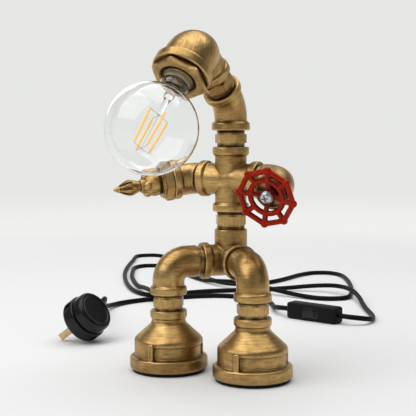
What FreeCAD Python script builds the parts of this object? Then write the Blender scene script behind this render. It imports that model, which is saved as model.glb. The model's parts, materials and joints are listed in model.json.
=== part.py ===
import FreeCAD, Part
import math
import os

# Industrial pipe table lamp: a standing figure screwed together from antique
# brass pipe fittings, with a globe lamp for a face, a pointed finial for one
# hand and a red handwheel for the other, and a mains lead with rocker and plug.
# Millimetres. Origin on the table under the upright body pipe, +Z up,
# -Y the figure's front, +X the side of the handwheel.

V = FreeCAD.Vector
UP, DOWN = V(0, 0, 1), V(0, 0, -1)
FRONT, BACK = V(0, -1, 0), V(0, 1, 0)
RIGHT, LEFT = V(1, 0, 0), V(-1, 0, 0)

# ---- pipe thread system -------------------------------------------------
THREAD_R = 13.2            # male thread of the body pipe size
THREAD_FIT = 0.05          # radial clearance of a thread in its socket
SOCKET_DEPTH = 15.0        # depth of a female port
THREAD_LEN = 13.5          # engaged length of a nipple's thread
WATERWAY_R = 10.4          # bore through a fitting past its sockets
NIPPLE_BORE_R = 9.6
NECK_R = 14.0              # exposed shoulder of a nipple beside its hex
HEX_FLATS = 28.6
HEX_WIDTH = 9.0

# ---- common fitting form ------------------------------------------------
BODY_R = 16.2              # outside of a fitting between its bands
BAND_R = 18.7              # reinforcing band round a port
BAND_WIDTH = 7.7
BAND_EDGE = 1.1            # rounding of a band's edges
ELBOW_FACE = 32.5          # centre to face, 90 degree elbow and corner
ELBOW_BEND = 19.0          # centreline radius of the elbow's bend
CROSS_FACE = 33.0
BEND45_FACE = 25.4         # centre to face of the neck bend
BEND45_RADIUS = 34.0
BEND45_BAND_R = 19.6
STREET_THREAD = 9.5        # engaged length of a street elbow's male end
STREET_STEP = 4.5          # thread left in view beside the port

# ---- feet ---------------------------------------------------------------
PAD_THICK = 3.0
PAD_R = 37.0
FOOT_HEIGHT = 59.0
FOOT_BAND_R = 39.6
FOOT_BAND_HEIGHT = 12.2
FOOT_BODY_R = 34.9
FOOT_SHOULDER = 29.5       # height of the cylinder's top edge above the rim
FOOT_NECK = 46.5           # height where the shoulder cone ends
FOOT_NECK_R = 17.2
FOOT_SOCKET_R = 29.8
FOOT_SOCKET_DEPTH = 19.0
FOOT_WALL = 4.0
RIB_WIDTH = 5.0
RIB_TOP = 36.0
SHOULDER_ROUNDING = 3.0
PAD_ROUNDING = 0.8

# ---- body stack ---------------------------------------------------------
LEG_GAP = 16.0             # nipple in view between foot and leg elbow
WAIST_GAP = 18.2
NECK_GAP = 17.0
LEG_REACH = 66.9           # leg axis from the body axis
LEG_SPREAD = 45.0          # each leg, degrees from straight ahead
CORNER_FACE = 32.0         # corner fitting, centre to its top port

# ---- head ---------------------------------------------------------------
HEAD_TILT = 47.5           # neck bend from upright
HEAD_TURN = 6.5            # head turned towards the pointed hand
HEAD_GAP = 18.4
HEAD_SMALL_FACE = 40.4     # reducing elbow, centre to small face
HEAD_BIG_FACE = 39.2
HEAD_BEND = 21.0
HEAD_BODY_R = 25.6
SWELL_START = 0.22         # share of the elbow's length where its body starts to widen
SWELL_SPAN = 0.52          # share that it takes to reach its full width
HEAD_BAND_R = 29.6
HEAD_BAND_WIDTH = 10.0
HEAD_THREAD_R = 20.9
HEAD_SOCKET_DEPTH = 17.0
BUSH_FLATS = 46.2
BUSH_HEX = 6.7
BUSH_BORE_R = 17.6
BUSH_MOUTH_R = 19.2        # chamfered mouth of the bush

# ---- lampholder and globe lamp ------------------------------------------
SKIRT_R = 17.3             # black skirt in the bush bore
SKIRT_LENGTH = 33.0
SKIRT_WALL = 1.8
SKIRT_FLOOR = 3.0
BLOCK_THICK = 5.0
TONGUE = 0.9
CONTACT_R = 3.6
TONGUE_R = 5.4
CONTACT_HOLE_R = 6.0       # round the contact, in the sleeve's floor
SLEEVE_FLOOR = 1.0
SKIRT_BACK = 1.5           # skirt mouth, behind the hex face
SLEEVE_R = 14.6            # brass screw sleeve
SLEEVE_WALL = 0.7
SLEEVE_LENGTH = 22.0
CAP_R = 13.2
CAP_LENGTH = 20.0
CAP_GAP = 4.0              # cap mouth, behind the hex face
CAP_TIP = 2.0              # black tip of the cap
CAP_SHEET = 0.5
CAP_FLOOR = 0.6
GLOBE_R = 43.9
GLOBE_REACH = 61.2         # globe centre beyond the hex face
GLOBE_NECK_R = 14.6
GLOBE_FLARE = 5.8          # how far the neck has widened where the globe's arc starts
GLOBE_PULL = 9.0           # length of the neck's easing
GLASS_WALL = 1.1
GLASS_LIP = 0.5            # where the glass starts to widen past the cap's mouth
GLASS_SEAT_R = 12.6        # glass neck inside the cap
GLASS_SEAT = 5.0
STEM_R = 5.2
STEM_FLARE = 0.15          # clearance of the stem's flare in the neck
STEM_LENGTH = 43.0         # from the cap's mouth
FILAMENT_R = 0.95
FILAMENT_LENGTH = 41.0
FILAMENT_SPREAD = 11.4     # filament from the lamp's axis
FILAMENT_COUNT = 4
FILAMENT_TURN = 21.0
WIRE_R = 0.3

# ---- pointed arm --------------------------------------------------------
LEFT_SHOULDER = 43.0       # bend centre from the body axis
LEFT_BEND = 45.0
LEFT_DROP = 10.5           # arm rolled below level
LEFT_FACE = 25.0
HAND_FLATS = 34.0
HAND_HEX = 9.0
COLLAR_R = 15.6
COLLAR_LENGTH = 3.4
BALL_R = 12.4
BALL_AHEAD = 6.0           # ball's middle in front of the collar
LOBES = 4
LOBE_R = 8.4
LOBE_BALL_R = 4.4
LOBE_START = 5.0           # lobed nut's rear end behind its middle
LOBE_REACH = 50.5          # lobed nut's middle from the bend centre
FINIAL_START = 55.4
FINIAL_TIP = 84.0
FINIAL_R = 8.7
FLUTES = 8
FLUTE_R = 1.5
LEFT_RADIUS = 18.0         # bend radius of the pointed arm's elbow
LUG_R = 1.8
HAND_BORE_R = 5.5

# ---- wheel arm ----------------------------------------------------------
RIGHT_SHOULDER = 59.5
RIGHT_DROP = 18.0
WHEEL_REACH = 46.0         # wheel's middle plane from the elbow centre
WHEEL_R = 31.3             # corners that the rim's lobes are rounded from
WHEEL_RIM_R = 2.1
WHEEL_BAR_R = 2.1
WHEEL_WAIST = 1.0          # how far the rim dips inside a straight side
WHEEL_TURN = -11.0         # first lobe, degrees about the spindle
RIM_ROUNDING = 0.42        # share of a side that each rim arc takes
WHEEL_LOBES = 8
WHEEL_INNER_R = 17.2
WHEEL_INNER_BACK = 1.5
SPOKES = 4
SPOKE_R = 2.2
SPOKE_ROOT = 2.0           # how deep a spoke starts in the hub
HUB_R = 7.0
HUB_LENGTH = 9.0
HUB_BACK = 5.5             # hub's middle behind the rim plane
SPINDLE_R = 4.0
SPINDLE_FIT = 0.05
PLUG_FLANGE_R = 15.4
PLUG_FLANGE = 3.0
SCREW_R = 2.5
SCREW_HEAD_R = 6.3
SCREW_HEAD = 3.2
SCREW_ROUNDING = 2.0
CROSS_LENGTH = 6.4         # cross recess
CROSS_WIDTH = 1.2
CROSS_DEPTH = 1.6
SPINDLE_COLLAR = 2.5
TAP_DEPTH = 10.0
WASHER_R = 6.6
WASHER_THICK = 1.0

# ---- mains lead ---------------------------------------------------------
CORD_R = 3.2
GLAND_HEIGHT = 11.0
GLAND_AZIMUTH = 27.5       # degrees from straight back, towards -X
GLAND_SHANK_R = 4.7
GLAND_HOLE_R = 4.8
GLAND_FLANGE_R = 6.6
GLAND_FLANGE = 2.0
GLAND_TAPER = 22.0
GLAND_TIP_R = 4.3
FLEX_FIT = 0.05            # radial clearance of the lead in the gland and the holder
FOOT_BEND = 18.0           # bends of the flex inside the pipes
HIP_BEND = 14.0
HOLDER_BEND = 13.0         # bend of the flex behind the lampholder
CORE_R = 2.2               # hole for the cores where the sheath ends
FLOOR = 3.2                # height of the lead's axis on the table
HUMP = 11.6                # height where it passes over itself
ARC_SHARE = 0.45           # share of the shorter run that each arc takes

# ---- rocker switch on the lead -------------------------------------------
SWITCH_X, SWITCH_Y = -12.1, 263.0
SWITCH_TURN = 167.5        # its +x end, degrees from +X
SWITCH_LENGTH = 74.0
SWITCH_HEIGHT = 21.0
SWITCH_DEPTH = 20.0
SWITCH_EDGE = 2.5
CASE_WALL = 2.0
ROCKER_LENGTH = 21.6
ROCKER_HEIGHT = 13.0
ROCKER_GAP = 0.25
ROCKER_PIVOT = 15.0        # pivot from the case's back
ROCKER_TILT = 8.0
PIVOT_R = 1.2
PIVOT_FIT = 0.05
CASE_SCREW_R = 1.4
CASE_SCREW_X = 28.0
CASE_SCREW_REACH = 15.0
CASE_POST_R = 2.6
ROCKER_RISE = 1.6          # rocker's ends above the case
TERMINAL = (8.0, 5.0, 7.0)
TERMINAL_X = 18.0
CONTACT_BAR = (16.0, 6.0, 5.0)

# ---- plug ----------------------------------------------------------------
PLUG_AT = V(-209.2, 27.1, 20.4)
PLUG_BACKWARDS = V(-0.14, 0.961, 0.239)    # towards the lead
PLUG_OUTWARDS = V(0.815, -0.025, 0.579)    # out of the cover
PLUG_R = 26.0
PLUG_BASE = 17.0
PLUG_COVER = 14.0
PLUG_COVER_R = 24.4
PLUG_WALL = 2.5
NUB_HEIGHT = 10.0
NUB_REACH = 33.0
PIN_SPACING = 22.2
LINE_PINS = 9.5            # live and neutral pins from the plug's middle
LINE_PIN = (6.35, 4.0, 17.7)
EARTH_PIN = (8.0, 4.0, 22.7)
SLEEVE = 9.0
SLEEVE_SKIN = 0.6
PIN_ROOT = 4.0             # pin's inner end above the pin face
FUSE_R, FUSE_LENGTH = 3.15, 25.4
CLIP = 1.0
CLIP_WIDE, CLIP_LONG = 6.0, 5.0
NUB_R = 7.0
NUB_WALL = 1.4
NUB_ROOT = 5.0             # how far inside the rim the nub starts
BOSS_R = 4.0
SCREW_HOLE_R = 1.8
PLUG_SCREW_R = 1.75
COVER_SLOPE = 1.2
COVER_CROWN = 4.5
GRIP_WIDE, GRIP_THICK = 14.0, 3.5

SAME_POINT = 1e-4          # closer points are one point


def direction(azimuth, elevation):
    """Unit vector: azimuth from the front towards -X, elevation upwards, degrees."""
    a, e = math.radians(azimuth), math.radians(elevation)
    return V(-math.sin(a) * math.cos(e), -math.cos(a) * math.cos(e), math.sin(e))


def along(point, way, distance):
    return point + way * distance


def rod(start, way, length, radius):
    return Part.makeCylinder(radius, length, start, way)


def fuse(*shapes):
    """Fuse shapes into one clean solid."""
    whole = shapes[0]
    if len(shapes) > 1:
        whole = whole.fuse(list(shapes[1:]))
    return whole.removeSplitter()


def band(face, way, radius, width, edge=BAND_EDGE):
    """A port's rounded band; face is the port's face and way points out of it."""
    ring = rod(along(face, way, -width), way, width, radius)
    return ring.makeFillet(edge, ring.Edges)


def hexagon(start, way, width, flats, turn=0.0, chamfer=1.2):
    """A hexagonal prism with its corners turned down at both ends."""
    corner = flats / math.sqrt(3)
    frame = FreeCAD.Placement(start, FreeCAD.Rotation(UP, way))
    points = []
    for k in range(7):
        a = math.radians(60 * k + turn)
        points.append(V(corner * math.cos(a), corner * math.sin(a), 0))
    prism = Part.Face(Part.makePolygon(points)).extrude(V(0, 0, width))
    slope = (corner - flats / 2 + chamfer) / math.sqrt(3)
    profile = Part.makePolygon([
        V(0, 0, 0), V(flats / 2 - chamfer, 0, 0), V(corner, 0, slope),
        V(corner, 0, width - slope), V(flats / 2 - chamfer, 0, width),
        V(0, 0, width), V(0, 0, 0)])
    nut = prism.common(Part.Face(profile).revolve(V(0, 0, 0), UP, 360))
    nut.Placement = frame
    return nut


def turned(start, way, profile):
    """Revolve (radius, distance) points about way from start."""
    points = [V(r, 0, z) for r, z in profile]
    points.append(points[0])
    solid = Part.Face(Part.makePolygon(points)).revolve(V(0, 0, 0), UP, 360)
    solid.Placement = FreeCAD.Placement(start, FreeCAD.Rotation(UP, way))
    return solid


def rounded_path(points, radii):
    """Straight runs joined by tangent arcs; radii has one value per inner point."""
    edges = []
    here = points[0]
    for k in range(1, len(points) - 1):
        before = (points[k - 1] - points[k]).normalize()
        after = (points[k + 1] - points[k]).normalize()
        half = (math.pi - before.getAngle(after)) / 2
        cut = radii[k - 1] * math.tan(half)
        start, end = along(points[k], before, cut), along(points[k], after, cut)
        inward = (before + after).normalize()
        middle = along(points[k], inward, radii[k - 1] / math.cos(half) - radii[k - 1])
        if (start - here).Length > SAME_POINT:
            edges.append(Part.LineSegment(here, start).toShape())
        edges.append(Part.Arc(start, middle, end).toShape())
        here = end
    if (points[-1] - here).Length > SAME_POINT:
        edges.append(Part.LineSegment(here, points[-1]).toShape())
    return Part.Wire(edges)


def tube_pieces(path, radius):
    """Round bars along each run and arc of a path of tangent runs."""
    solids = []
    for edge in path.OrderedEdges:
        start = edge.valueAt(edge.FirstParameter)
        way = edge.tangentAt(edge.FirstParameter)
        disc = Part.Face(Part.Wire(Part.makeCircle(radius, start, way)))
        if isinstance(edge.Curve, Part.Circle):
            turn = math.degrees(edge.LastParameter - edge.FirstParameter)
            solids.append(disc.revolve(edge.Curve.Center, edge.Curve.Axis, turn))
        else:
            solids.append(disc.extrude(way * edge.Length))
    return solids


def tube(path, radius):
    """A round solid that follows a path of tangent runs."""
    return fuse(*tube_pieces(path, radius))


def bend(face_a, corner, face_b, bend_r, radius):
    """Body of an elbow: a round bar along face_a, corner, face_b."""
    return tube(rounded_path([face_a, corner, face_b], [bend_r]), radius)


def socket(face, way):
    """Cutter for a female port whose face looks along way."""
    return rod(along(face, way, -SOCKET_DEPTH), way, SOCKET_DEPTH + 1, THREAD_R + THREAD_FIT)


def nipple(start, way, gap, engaged=THREAD_LEN):
    """Hex nipple between two port faces that lie gap apart."""
    hex_start = along(start, way, (gap - HEX_WIDTH) / 2)
    body = fuse(rod(along(start, way, -engaged), way, gap + 2 * engaged, THREAD_R),
                rod(start, way, gap, NECK_R),
                hexagon(hex_start, way, HEX_WIDTH, HEX_FLATS))
    bore = rod(along(start, way, -engaged - 1), way, gap + 2 * engaged + 2, NIPPLE_BORE_R)
    return body.cut(bore)


# ---- feet ---------------------------------------------------------------
def foot_centre(side):
    """Leg axis on the table; side is -1 for the left leg and 1 for the right."""
    a = math.radians(LEG_SPREAD)
    return V(side * LEG_REACH * math.sin(a), -LEG_REACH * math.cos(a), 0)


def gland_way():
    a = math.radians(GLAND_AZIMUTH)
    return V(-math.sin(a), math.cos(a), 0)


def foot(side):
    """Bell reducer standing on its wide mouth."""
    base = foot_centre(side) + V(0, 0, PAD_THICK)
    outer = turned(base, UP, [
        (0, 0), (FOOT_BAND_R - BAND_EDGE, 0), (FOOT_BAND_R, BAND_EDGE),
        (FOOT_BAND_R, FOOT_BAND_HEIGHT - BAND_EDGE),
        (FOOT_BAND_R - BAND_EDGE, FOOT_BAND_HEIGHT), (FOOT_BODY_R, FOOT_BAND_HEIGHT),
        (FOOT_BODY_R, FOOT_SHOULDER), (FOOT_NECK_R, FOOT_NECK),
        (FOOT_NECK_R, FOOT_HEIGHT), (0, FOOT_HEIGHT)])
    shoulder = [e for e in outer.Edges if len(e.Vertexes) == 1
                and abs(e.Vertexes[0].Z - base.z - FOOT_SHOULDER) < 0.01]
    outer = outer.makeFillet(SHOULDER_ROUNDING, shoulder)
    top = along(base, UP, FOOT_HEIGHT)
    parts = [outer, band(top, UP, BAND_R, BAND_WIDTH)]
    for way in (FRONT, BACK):
        parts.append(foot_rib(base, way))
    body = fuse(*parts)
    cavity = turned(base, UP, [
        (0, -1), (FOOT_SOCKET_R, -1), (FOOT_SOCKET_R, FOOT_SOCKET_DEPTH),
        (FOOT_SOCKET_R - FOOT_WALL / 2, FOOT_SOCKET_DEPTH),
        (FOOT_SOCKET_R - FOOT_WALL / 2, FOOT_SHOULDER - FOOT_WALL / 2),
        (WATERWAY_R, FOOT_NECK - FOOT_WALL), (WATERWAY_R, FOOT_HEIGHT + 1),
        (0, FOOT_HEIGHT + 1)])
    return body.cut([cavity, socket(top, UP)])


def foot_rib(base, way):
    """Grip rib down the bell, flush with its wide band."""
    side = UP.cross(way)
    inner = FOOT_BODY_R - 2.0
    outline = [(inner, 0), (FOOT_BAND_R, 0), (FOOT_BAND_R, RIB_TOP - 8.0),
               (FOOT_BAND_R - 2.2, RIB_TOP - 3.0), (FOOT_BAND_R - 8.0, RIB_TOP),
               (inner - 8.0, RIB_TOP), (inner - 8.0, RIB_TOP - 9.0)]
    points = [base + way * r + UP * z - side * (RIB_WIDTH / 2) for r, z in outline]
    points.append(points[0])
    return Part.Face(Part.makePolygon(points)).extrude(side * RIB_WIDTH)


def left_foot():
    """Left foot, drilled at the back for the mains lead."""
    base = foot_centre(-1) + V(0, 0, GLAND_HEIGHT)
    hole = rod(base, gland_way(), FOOT_BAND_R + 2, GLAND_HOLE_R)
    return foot(-1).cut(hole)


def foot_pad(side):
    """Rubber disc under a foot."""
    pad = rod(foot_centre(side), UP, PAD_THICK, PAD_R)
    lower = [e for e in pad.Edges if len(e.Vertexes) == 1 and e.Vertexes[0].Z < 0.01]
    return pad.makeFillet(PAD_ROUNDING, lower)


def leg_face():
    """Height of the leg elbow's lower face."""
    return PAD_THICK + FOOT_HEIGHT + LEG_GAP


def hip():
    """Centre of the corner fitting."""
    return V(0, 0, leg_face() + ELBOW_FACE)


def leg_nipple(side):
    start = foot_centre(side) + V(0, 0, PAD_THICK + FOOT_HEIGHT)
    return nipple(start, UP, LEG_GAP)


def leg_way(side):
    """From the body axis towards a leg."""
    return foot_centre(side).normalize()


def street_elbow(start, way, corner, face, mouth, bend_r):
    """Elbow with a male end at start looking back along way, and a female mouth."""
    step = along(start, way, STREET_THREAD + STREET_STEP)
    body = bend(step, corner, face, bend_r, BODY_R)
    body = fuse(body, rod(start, way, (step - start).Length + 2, THREAD_R),
                band(face, mouth, BAND_R, BAND_WIDTH))
    inner = bend(along(start, way, -1), corner, along(face, mouth, -SOCKET_DEPTH + 1),
                 bend_r, WATERWAY_R)
    return body.cut([inner, socket(face, mouth)])


def leg_elbow(side):
    way = leg_way(side)
    port = along(hip(), way, ELBOW_FACE)
    corner = along(hip(), way, LEG_REACH)
    start = along(port, way, -STREET_THREAD)
    return street_elbow(start, way, corner, along(corner, DOWN, ELBOW_FACE), DOWN, ELBOW_BEND)


def corner_fitting():
    """Side outlet elbow: one port up and one towards each leg."""
    centre = hip()
    top = along(centre, UP, CORNER_FACE)
    solids = [Part.makeSphere(BODY_R + 0.6, centre),
              rod(centre, UP, CORNER_FACE, BODY_R + 0.6)]
    cutters = [rod(centre, UP, CORNER_FACE + 1, WATERWAY_R), socket(top, UP),
               Part.makeSphere(WATERWAY_R, centre)]
    for side in (-1, 1):
        way = leg_way(side)
        face = along(centre, way, ELBOW_FACE)
        solids += [rod(centre, way, ELBOW_FACE, BODY_R), band(face, way, BAND_R, BAND_WIDTH)]
        cutters += [rod(centre, way, ELBOW_FACE + 1, WATERWAY_R), socket(face, way)]
    return fuse(*solids).cut(cutters)


def waist():
    """Start of the waist nipple, on the corner fitting's top face."""
    return along(hip(), UP, CORNER_FACE)


def chest():
    """Centre of the cross."""
    return along(waist(), UP, WAIST_GAP + CROSS_FACE)


def cross():
    centre = chest()
    solids, cutters = [Part.makeSphere(BODY_R + 0.9, centre)], []
    for way in (UP, DOWN, LEFT, RIGHT):
        face = along(centre, way, CROSS_FACE)
        solids += [rod(centre, way, CROSS_FACE, BODY_R), band(face, way, BAND_R, BAND_WIDTH)]
        cutters += [rod(centre, way, CROSS_FACE + 1, WATERWAY_R), socket(face, way)]
    return fuse(*solids).cut(cutters)


def neck():
    """Start of the neck nipple, on the cross's top face."""
    return along(chest(), UP, CROSS_FACE)


# ---- head ---------------------------------------------------------------
def neck_way():
    """Upwards and forwards along the tilted neck."""
    return direction(HEAD_TURN, 90 - HEAD_TILT)


def face_way():
    """Out of the head's wide mouth, forwards and downwards."""
    return direction(HEAD_TURN, -HEAD_TILT)


def neck_bend_centre():
    return along(neck(), UP, NECK_GAP + BEND45_FACE)


def neck_bend():
    """Bend that tips the head forwards."""
    corner = neck_bend_centre()
    low, high = along(corner, UP, -BEND45_FACE), along(corner, neck_way(), BEND45_FACE)
    body = fuse(bend(low, corner, high, BEND45_RADIUS, BODY_R + 0.4),
                band(low, DOWN, BEND45_BAND_R, BAND_WIDTH),
                band(high, neck_way(), BEND45_BAND_R, BAND_WIDTH))
    inner = bend(low, corner, high, BEND45_RADIUS, WATERWAY_R)
    return body.cut([inner, socket(low, DOWN), socket(high, neck_way())])


def head_nipple_start():
    return along(neck_bend_centre(), neck_way(), BEND45_FACE)


def head_centre():
    return along(head_nipple_start(), neck_way(), HEAD_GAP + HEAD_SMALL_FACE)


def swelling_bend(start, corner, end, bend_r, r_start, r_end):
    """Elbow body whose radius grows round its bend, as a loft of circles."""
    path = rounded_path([start, corner, end], [bend_r])
    length = sum(e.Length for e in path.Edges)
    rings = []
    stations = 9
    for k in range(stations + 1):
        share = k / stations
        distance, edge = share * length, path.Edges[0]
        for edge in path.Edges:
            if distance <= edge.Length + 1e-6:
                break
            distance -= edge.Length
        at = edge.FirstParameter + (edge.LastParameter - edge.FirstParameter) \
            * min(distance / edge.Length, 1.0)
        swell = min(1.0, max(0.0, (share - SWELL_START) / SWELL_SPAN))
        radius = r_start + (r_end - r_start) * math.sin(swell * math.pi / 2)
        rings.append(Part.Wire(Part.makeCircle(radius, edge.valueAt(at), edge.tangentAt(at))))
    return Part.makeLoft(rings, True)


def head_elbow():
    """Reducing elbow: the head."""
    corner = head_centre()
    small = along(corner, neck_way(), -HEAD_SMALL_FACE)
    big = along(corner, face_way(), HEAD_BIG_FACE)
    back = neck_way() * -1
    body = fuse(swelling_bend(small, corner, big, HEAD_BEND, BODY_R + 0.4, HEAD_BODY_R),
                band(small, back, BAND_R, BAND_WIDTH),
                band(big, face_way(), HEAD_BAND_R, HEAD_BAND_WIDTH, 1.6))
    inner = swelling_bend(small, corner, big, HEAD_BEND, WATERWAY_R, HEAD_THREAD_R - 1.5)
    mouth = rod(along(big, face_way(), -HEAD_SOCKET_DEPTH), face_way(),
                HEAD_SOCKET_DEPTH + 1, HEAD_THREAD_R + THREAD_FIT)
    return body.cut([inner, mouth, socket(small, back)])


def mouth():
    """Middle of the head's wide face."""
    return along(head_centre(), face_way(), HEAD_BIG_FACE)


def head_bush():
    """Hex bush screwed into the head, with the lampholder in its bore."""
    way = face_way()
    start = along(mouth(), way, -HEAD_SOCKET_DEPTH + 2)
    length = HEAD_SOCKET_DEPTH - 2 + BUSH_HEX
    body = fuse(rod(start, way, length, HEAD_THREAD_R),
                hexagon(mouth(), way, BUSH_HEX, BUSH_FLATS, 51.0, 1.0))
    chamfer = BUSH_MOUTH_R - BUSH_BORE_R
    bore = turned(start, way, [
        (0, -1), (BUSH_BORE_R, -1), (BUSH_BORE_R, length - chamfer),
        (BUSH_MOUTH_R, length), (BUSH_MOUTH_R, length + 1), (0, length + 1)])
    return body.cut(bore)


# ---- lampholder and globe lamp ------------------------------------------
def lamp_origin():
    """Point on the lamp's axis in the plane of the bush's outer face."""
    return along(mouth(), face_way(), BUSH_HEX)


def lampholder_skirt():
    """Black skirt: a cup that fits the bush bore, open towards the lamp."""
    way = face_way()
    start = along(lamp_origin(), way, -SKIRT_BACK - SKIRT_LENGTH)
    cup = rod(start, way, SKIRT_LENGTH, SKIRT_R)
    hollow = rod(along(start, way, SKIRT_FLOOR), way, SKIRT_LENGTH, SKIRT_R - SKIRT_WALL)
    entry = rod(along(start, way, -1), way, SKIRT_FLOOR + 2, CORD_R + FLEX_FIT)
    return cup.cut([hollow, entry])


def block_front():
    """Distance of the block's front face from the bush's outer face."""
    return -SKIRT_BACK - SKIRT_LENGTH + SKIRT_FLOOR + BLOCK_THICK


def lampholder_block():
    """Insulating block at the bottom of the skirt, under the screw sleeve."""
    way = face_way()
    start = along(lamp_origin(), way, block_front() - BLOCK_THICK)
    block = rod(start, way, BLOCK_THICK, SKIRT_R - SKIRT_WALL)
    return block.cut(rod(along(start, way, -1), way, BLOCK_THICK - 0.5, CORD_R + FLEX_FIT))


def lampholder_sleeve():
    """Brass screw sleeve standing on the block."""
    way = face_way()
    start = along(lamp_origin(), way, block_front())
    sleeve = rod(start, way, SLEEVE_LENGTH, SLEEVE_R)
    hollow = rod(along(start, way, SLEEVE_FLOOR), way, SLEEVE_LENGTH, SLEEVE_R - SLEEVE_WALL)
    centre = rod(along(start, way, -1), way, SLEEVE_FLOOR + 2, CONTACT_HOLE_R)
    return sleeve.cut([hollow, centre])


def lampholder_contact():
    """Centre contact on the block: a post under a round tongue."""
    way = face_way()
    start = along(lamp_origin(), way, block_front())
    height = -CAP_GAP - CAP_LENGTH - block_front()
    post = rod(start, way, height, CONTACT_R)
    tongue = rod(along(start, way, height - TONGUE), way, TONGUE, TONGUE_R)
    return fuse(post, tongue)


def cap_start():
    """Tip end of the lamp cap."""
    return along(lamp_origin(), face_way(), -CAP_GAP - CAP_LENGTH)


def lamp_cap():
    """Brass screw cap of the globe lamp, a closed cup."""
    way = face_way()
    shell = rod(along(cap_start(), way, CAP_TIP), way, CAP_LENGTH - CAP_TIP, CAP_R)
    return shell.cut(rod(along(cap_start(), way, CAP_TIP + CAP_FLOOR), way, CAP_LENGTH,
                         CAP_R - CAP_SHEET))


def lamp_cap_tip():
    """Black insulator and centre contact at the cap's end."""
    return turned(cap_start(), face_way(), [
        (0, 0), (CONTACT_R, 0), (CONTACT_R + 0.6, 0.8), (CAP_R - 3.7, CAP_TIP), (0, CAP_TIP)])


def globe_solid(inset, start_at):
    """Solid of the globe and its flared neck, seated in the cap; inset by the wall."""
    reach, radius = CAP_GAP + GLOBE_REACH, GLOBE_R - inset
    neck_r, seat_r = GLOBE_NECK_R - inset, GLASS_SEAT_R - inset
    joint = math.asin((neck_r + GLOBE_FLARE) / radius)
    middle = (math.pi + joint) / 2
    neck = V(neck_r, 0, GLASS_LIP + 2.0)
    join = V(radius * math.sin(joint), 0, reach - radius * math.cos(joint))
    bulge = Part.BezierCurve()
    bulge.setPoles([neck, neck + UP * (GLOBE_PULL - 2.0),
                    join - V(math.cos(joint), 0, math.sin(joint)) * GLOBE_PULL * 0.7, join])
    arc = Part.Arc(join, V(radius * math.sin(middle), 0, reach - radius * math.cos(middle)),
                   V(0, 0, reach + radius))
    rim = V(seat_r, 0, GLASS_LIP)
    edges = [Part.LineSegment(V(0, 0, start_at), V(seat_r, 0, start_at)).toShape(),
             Part.LineSegment(V(seat_r, 0, start_at), rim).toShape(),
             Part.LineSegment(rim, neck).toShape(), bulge.toShape(), arc.toShape(),
             Part.LineSegment(V(0, 0, reach + radius), V(0, 0, start_at)).toShape()]
    solid = Part.Face(Part.Wire(edges)).revolve(V(0, 0, 0), UP, 360)
    solid.Placement = FreeCAD.Placement(cap_mouth(), FreeCAD.Rotation(UP, face_way()))
    return solid


def cap_mouth():
    return along(cap_start(), face_way(), CAP_LENGTH)


def globe():
    """Clear glass globe, a thin closed shell open at its neck."""
    return globe_solid(0.0, -GLASS_SEAT).cut(globe_solid(GLASS_WALL, -GLASS_SEAT - 1.0))


def lamp_stem():
    """Glass stem that carries the filaments, sealed to the neck by its flare."""
    flare_r = GLASS_SEAT_R - GLASS_WALL - STEM_FLARE
    return turned(cap_mouth(), face_way(), [
        (0, -GLASS_SEAT), (flare_r, -GLASS_SEAT), (flare_r, -GLASS_SEAT + 1.2), (STEM_R, 0),
        (STEM_R, STEM_LENGTH - 24), (2.6, STEM_LENGTH - 16), (1.9, STEM_LENGTH - 4),
        (2.4, STEM_LENGTH), (0, STEM_LENGTH)])


def filament_places():
    """Start and direction of each LED filament rod."""
    way = face_way()
    side = way.cross(UP).normalize()
    other = way.cross(side)
    start = along(cap_mouth(), way, STEM_LENGTH + 2 * WIRE_R)
    places = []
    for k in range(FILAMENT_COUNT):
        a = math.radians(360 * k / FILAMENT_COUNT + FILAMENT_TURN)
        out = side * math.cos(a) + other * math.sin(a)
        places.append((along(start, out, FILAMENT_SPREAD), out))
    return places


def filaments():
    """The LED filament rods, one group."""
    way = face_way()
    return Part.makeCompound([rod(start, way, FILAMENT_LENGTH, FILAMENT_R)
                              for start, _ in filament_places()])


def filament_wires():
    """Wire cage on the stem's end: a mast with a spider under and over the rods."""
    way = face_way()
    top = along(cap_mouth(), way, STEM_LENGTH)
    mast = FILAMENT_LENGTH + 3 * WIRE_R
    pieces = [rod(top, way, mast, WIRE_R)]
    for _, out in filament_places():
        for level in (WIRE_R, mast):
            axis = along(top, way, level)
            pieces.append(rod(axis, out, FILAMENT_SPREAD + FILAMENT_R / 2, WIRE_R))
    return fuse(*pieces)


# ---- pointed arm --------------------------------------------------------
def left_way():
    """Direction of the pointed hand."""
    b, d = math.radians(LEFT_BEND), math.radians(LEFT_DROP)
    return V(-math.cos(b), -math.sin(b) * math.cos(d), -math.sin(b) * math.sin(d))


def left_bend_centre():
    return along(chest(), LEFT, LEFT_SHOULDER)


def left_arm_elbow():
    """Street bend from the cross to the pointed hand."""
    corner = left_bend_centre()
    port = along(chest(), LEFT, CROSS_FACE)
    start = along(port, LEFT, -STREET_THREAD)
    face = along(corner, left_way(), LEFT_FACE)
    body = bend(along(port, LEFT, 1.5), corner, face, LEFT_RADIUS, BODY_R)
    lug = rod(along(port, LEFT, 8.0) + FRONT * (BODY_R - 1.0), LEFT, 6.0, LUG_R)
    body = fuse(body, rod(start, LEFT, STREET_THREAD + 4, THREAD_R),
                band(face, left_way(), BAND_R + 0.3, BAND_WIDTH), lug)
    inner = bend(along(start, LEFT, -1), corner, face, LEFT_RADIUS, WATERWAY_R)
    return body.cut([inner, socket(face, left_way())])


def hand(distance):
    """Point on the pointed hand's axis."""
    return along(left_bend_centre(), left_way(), distance)


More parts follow.
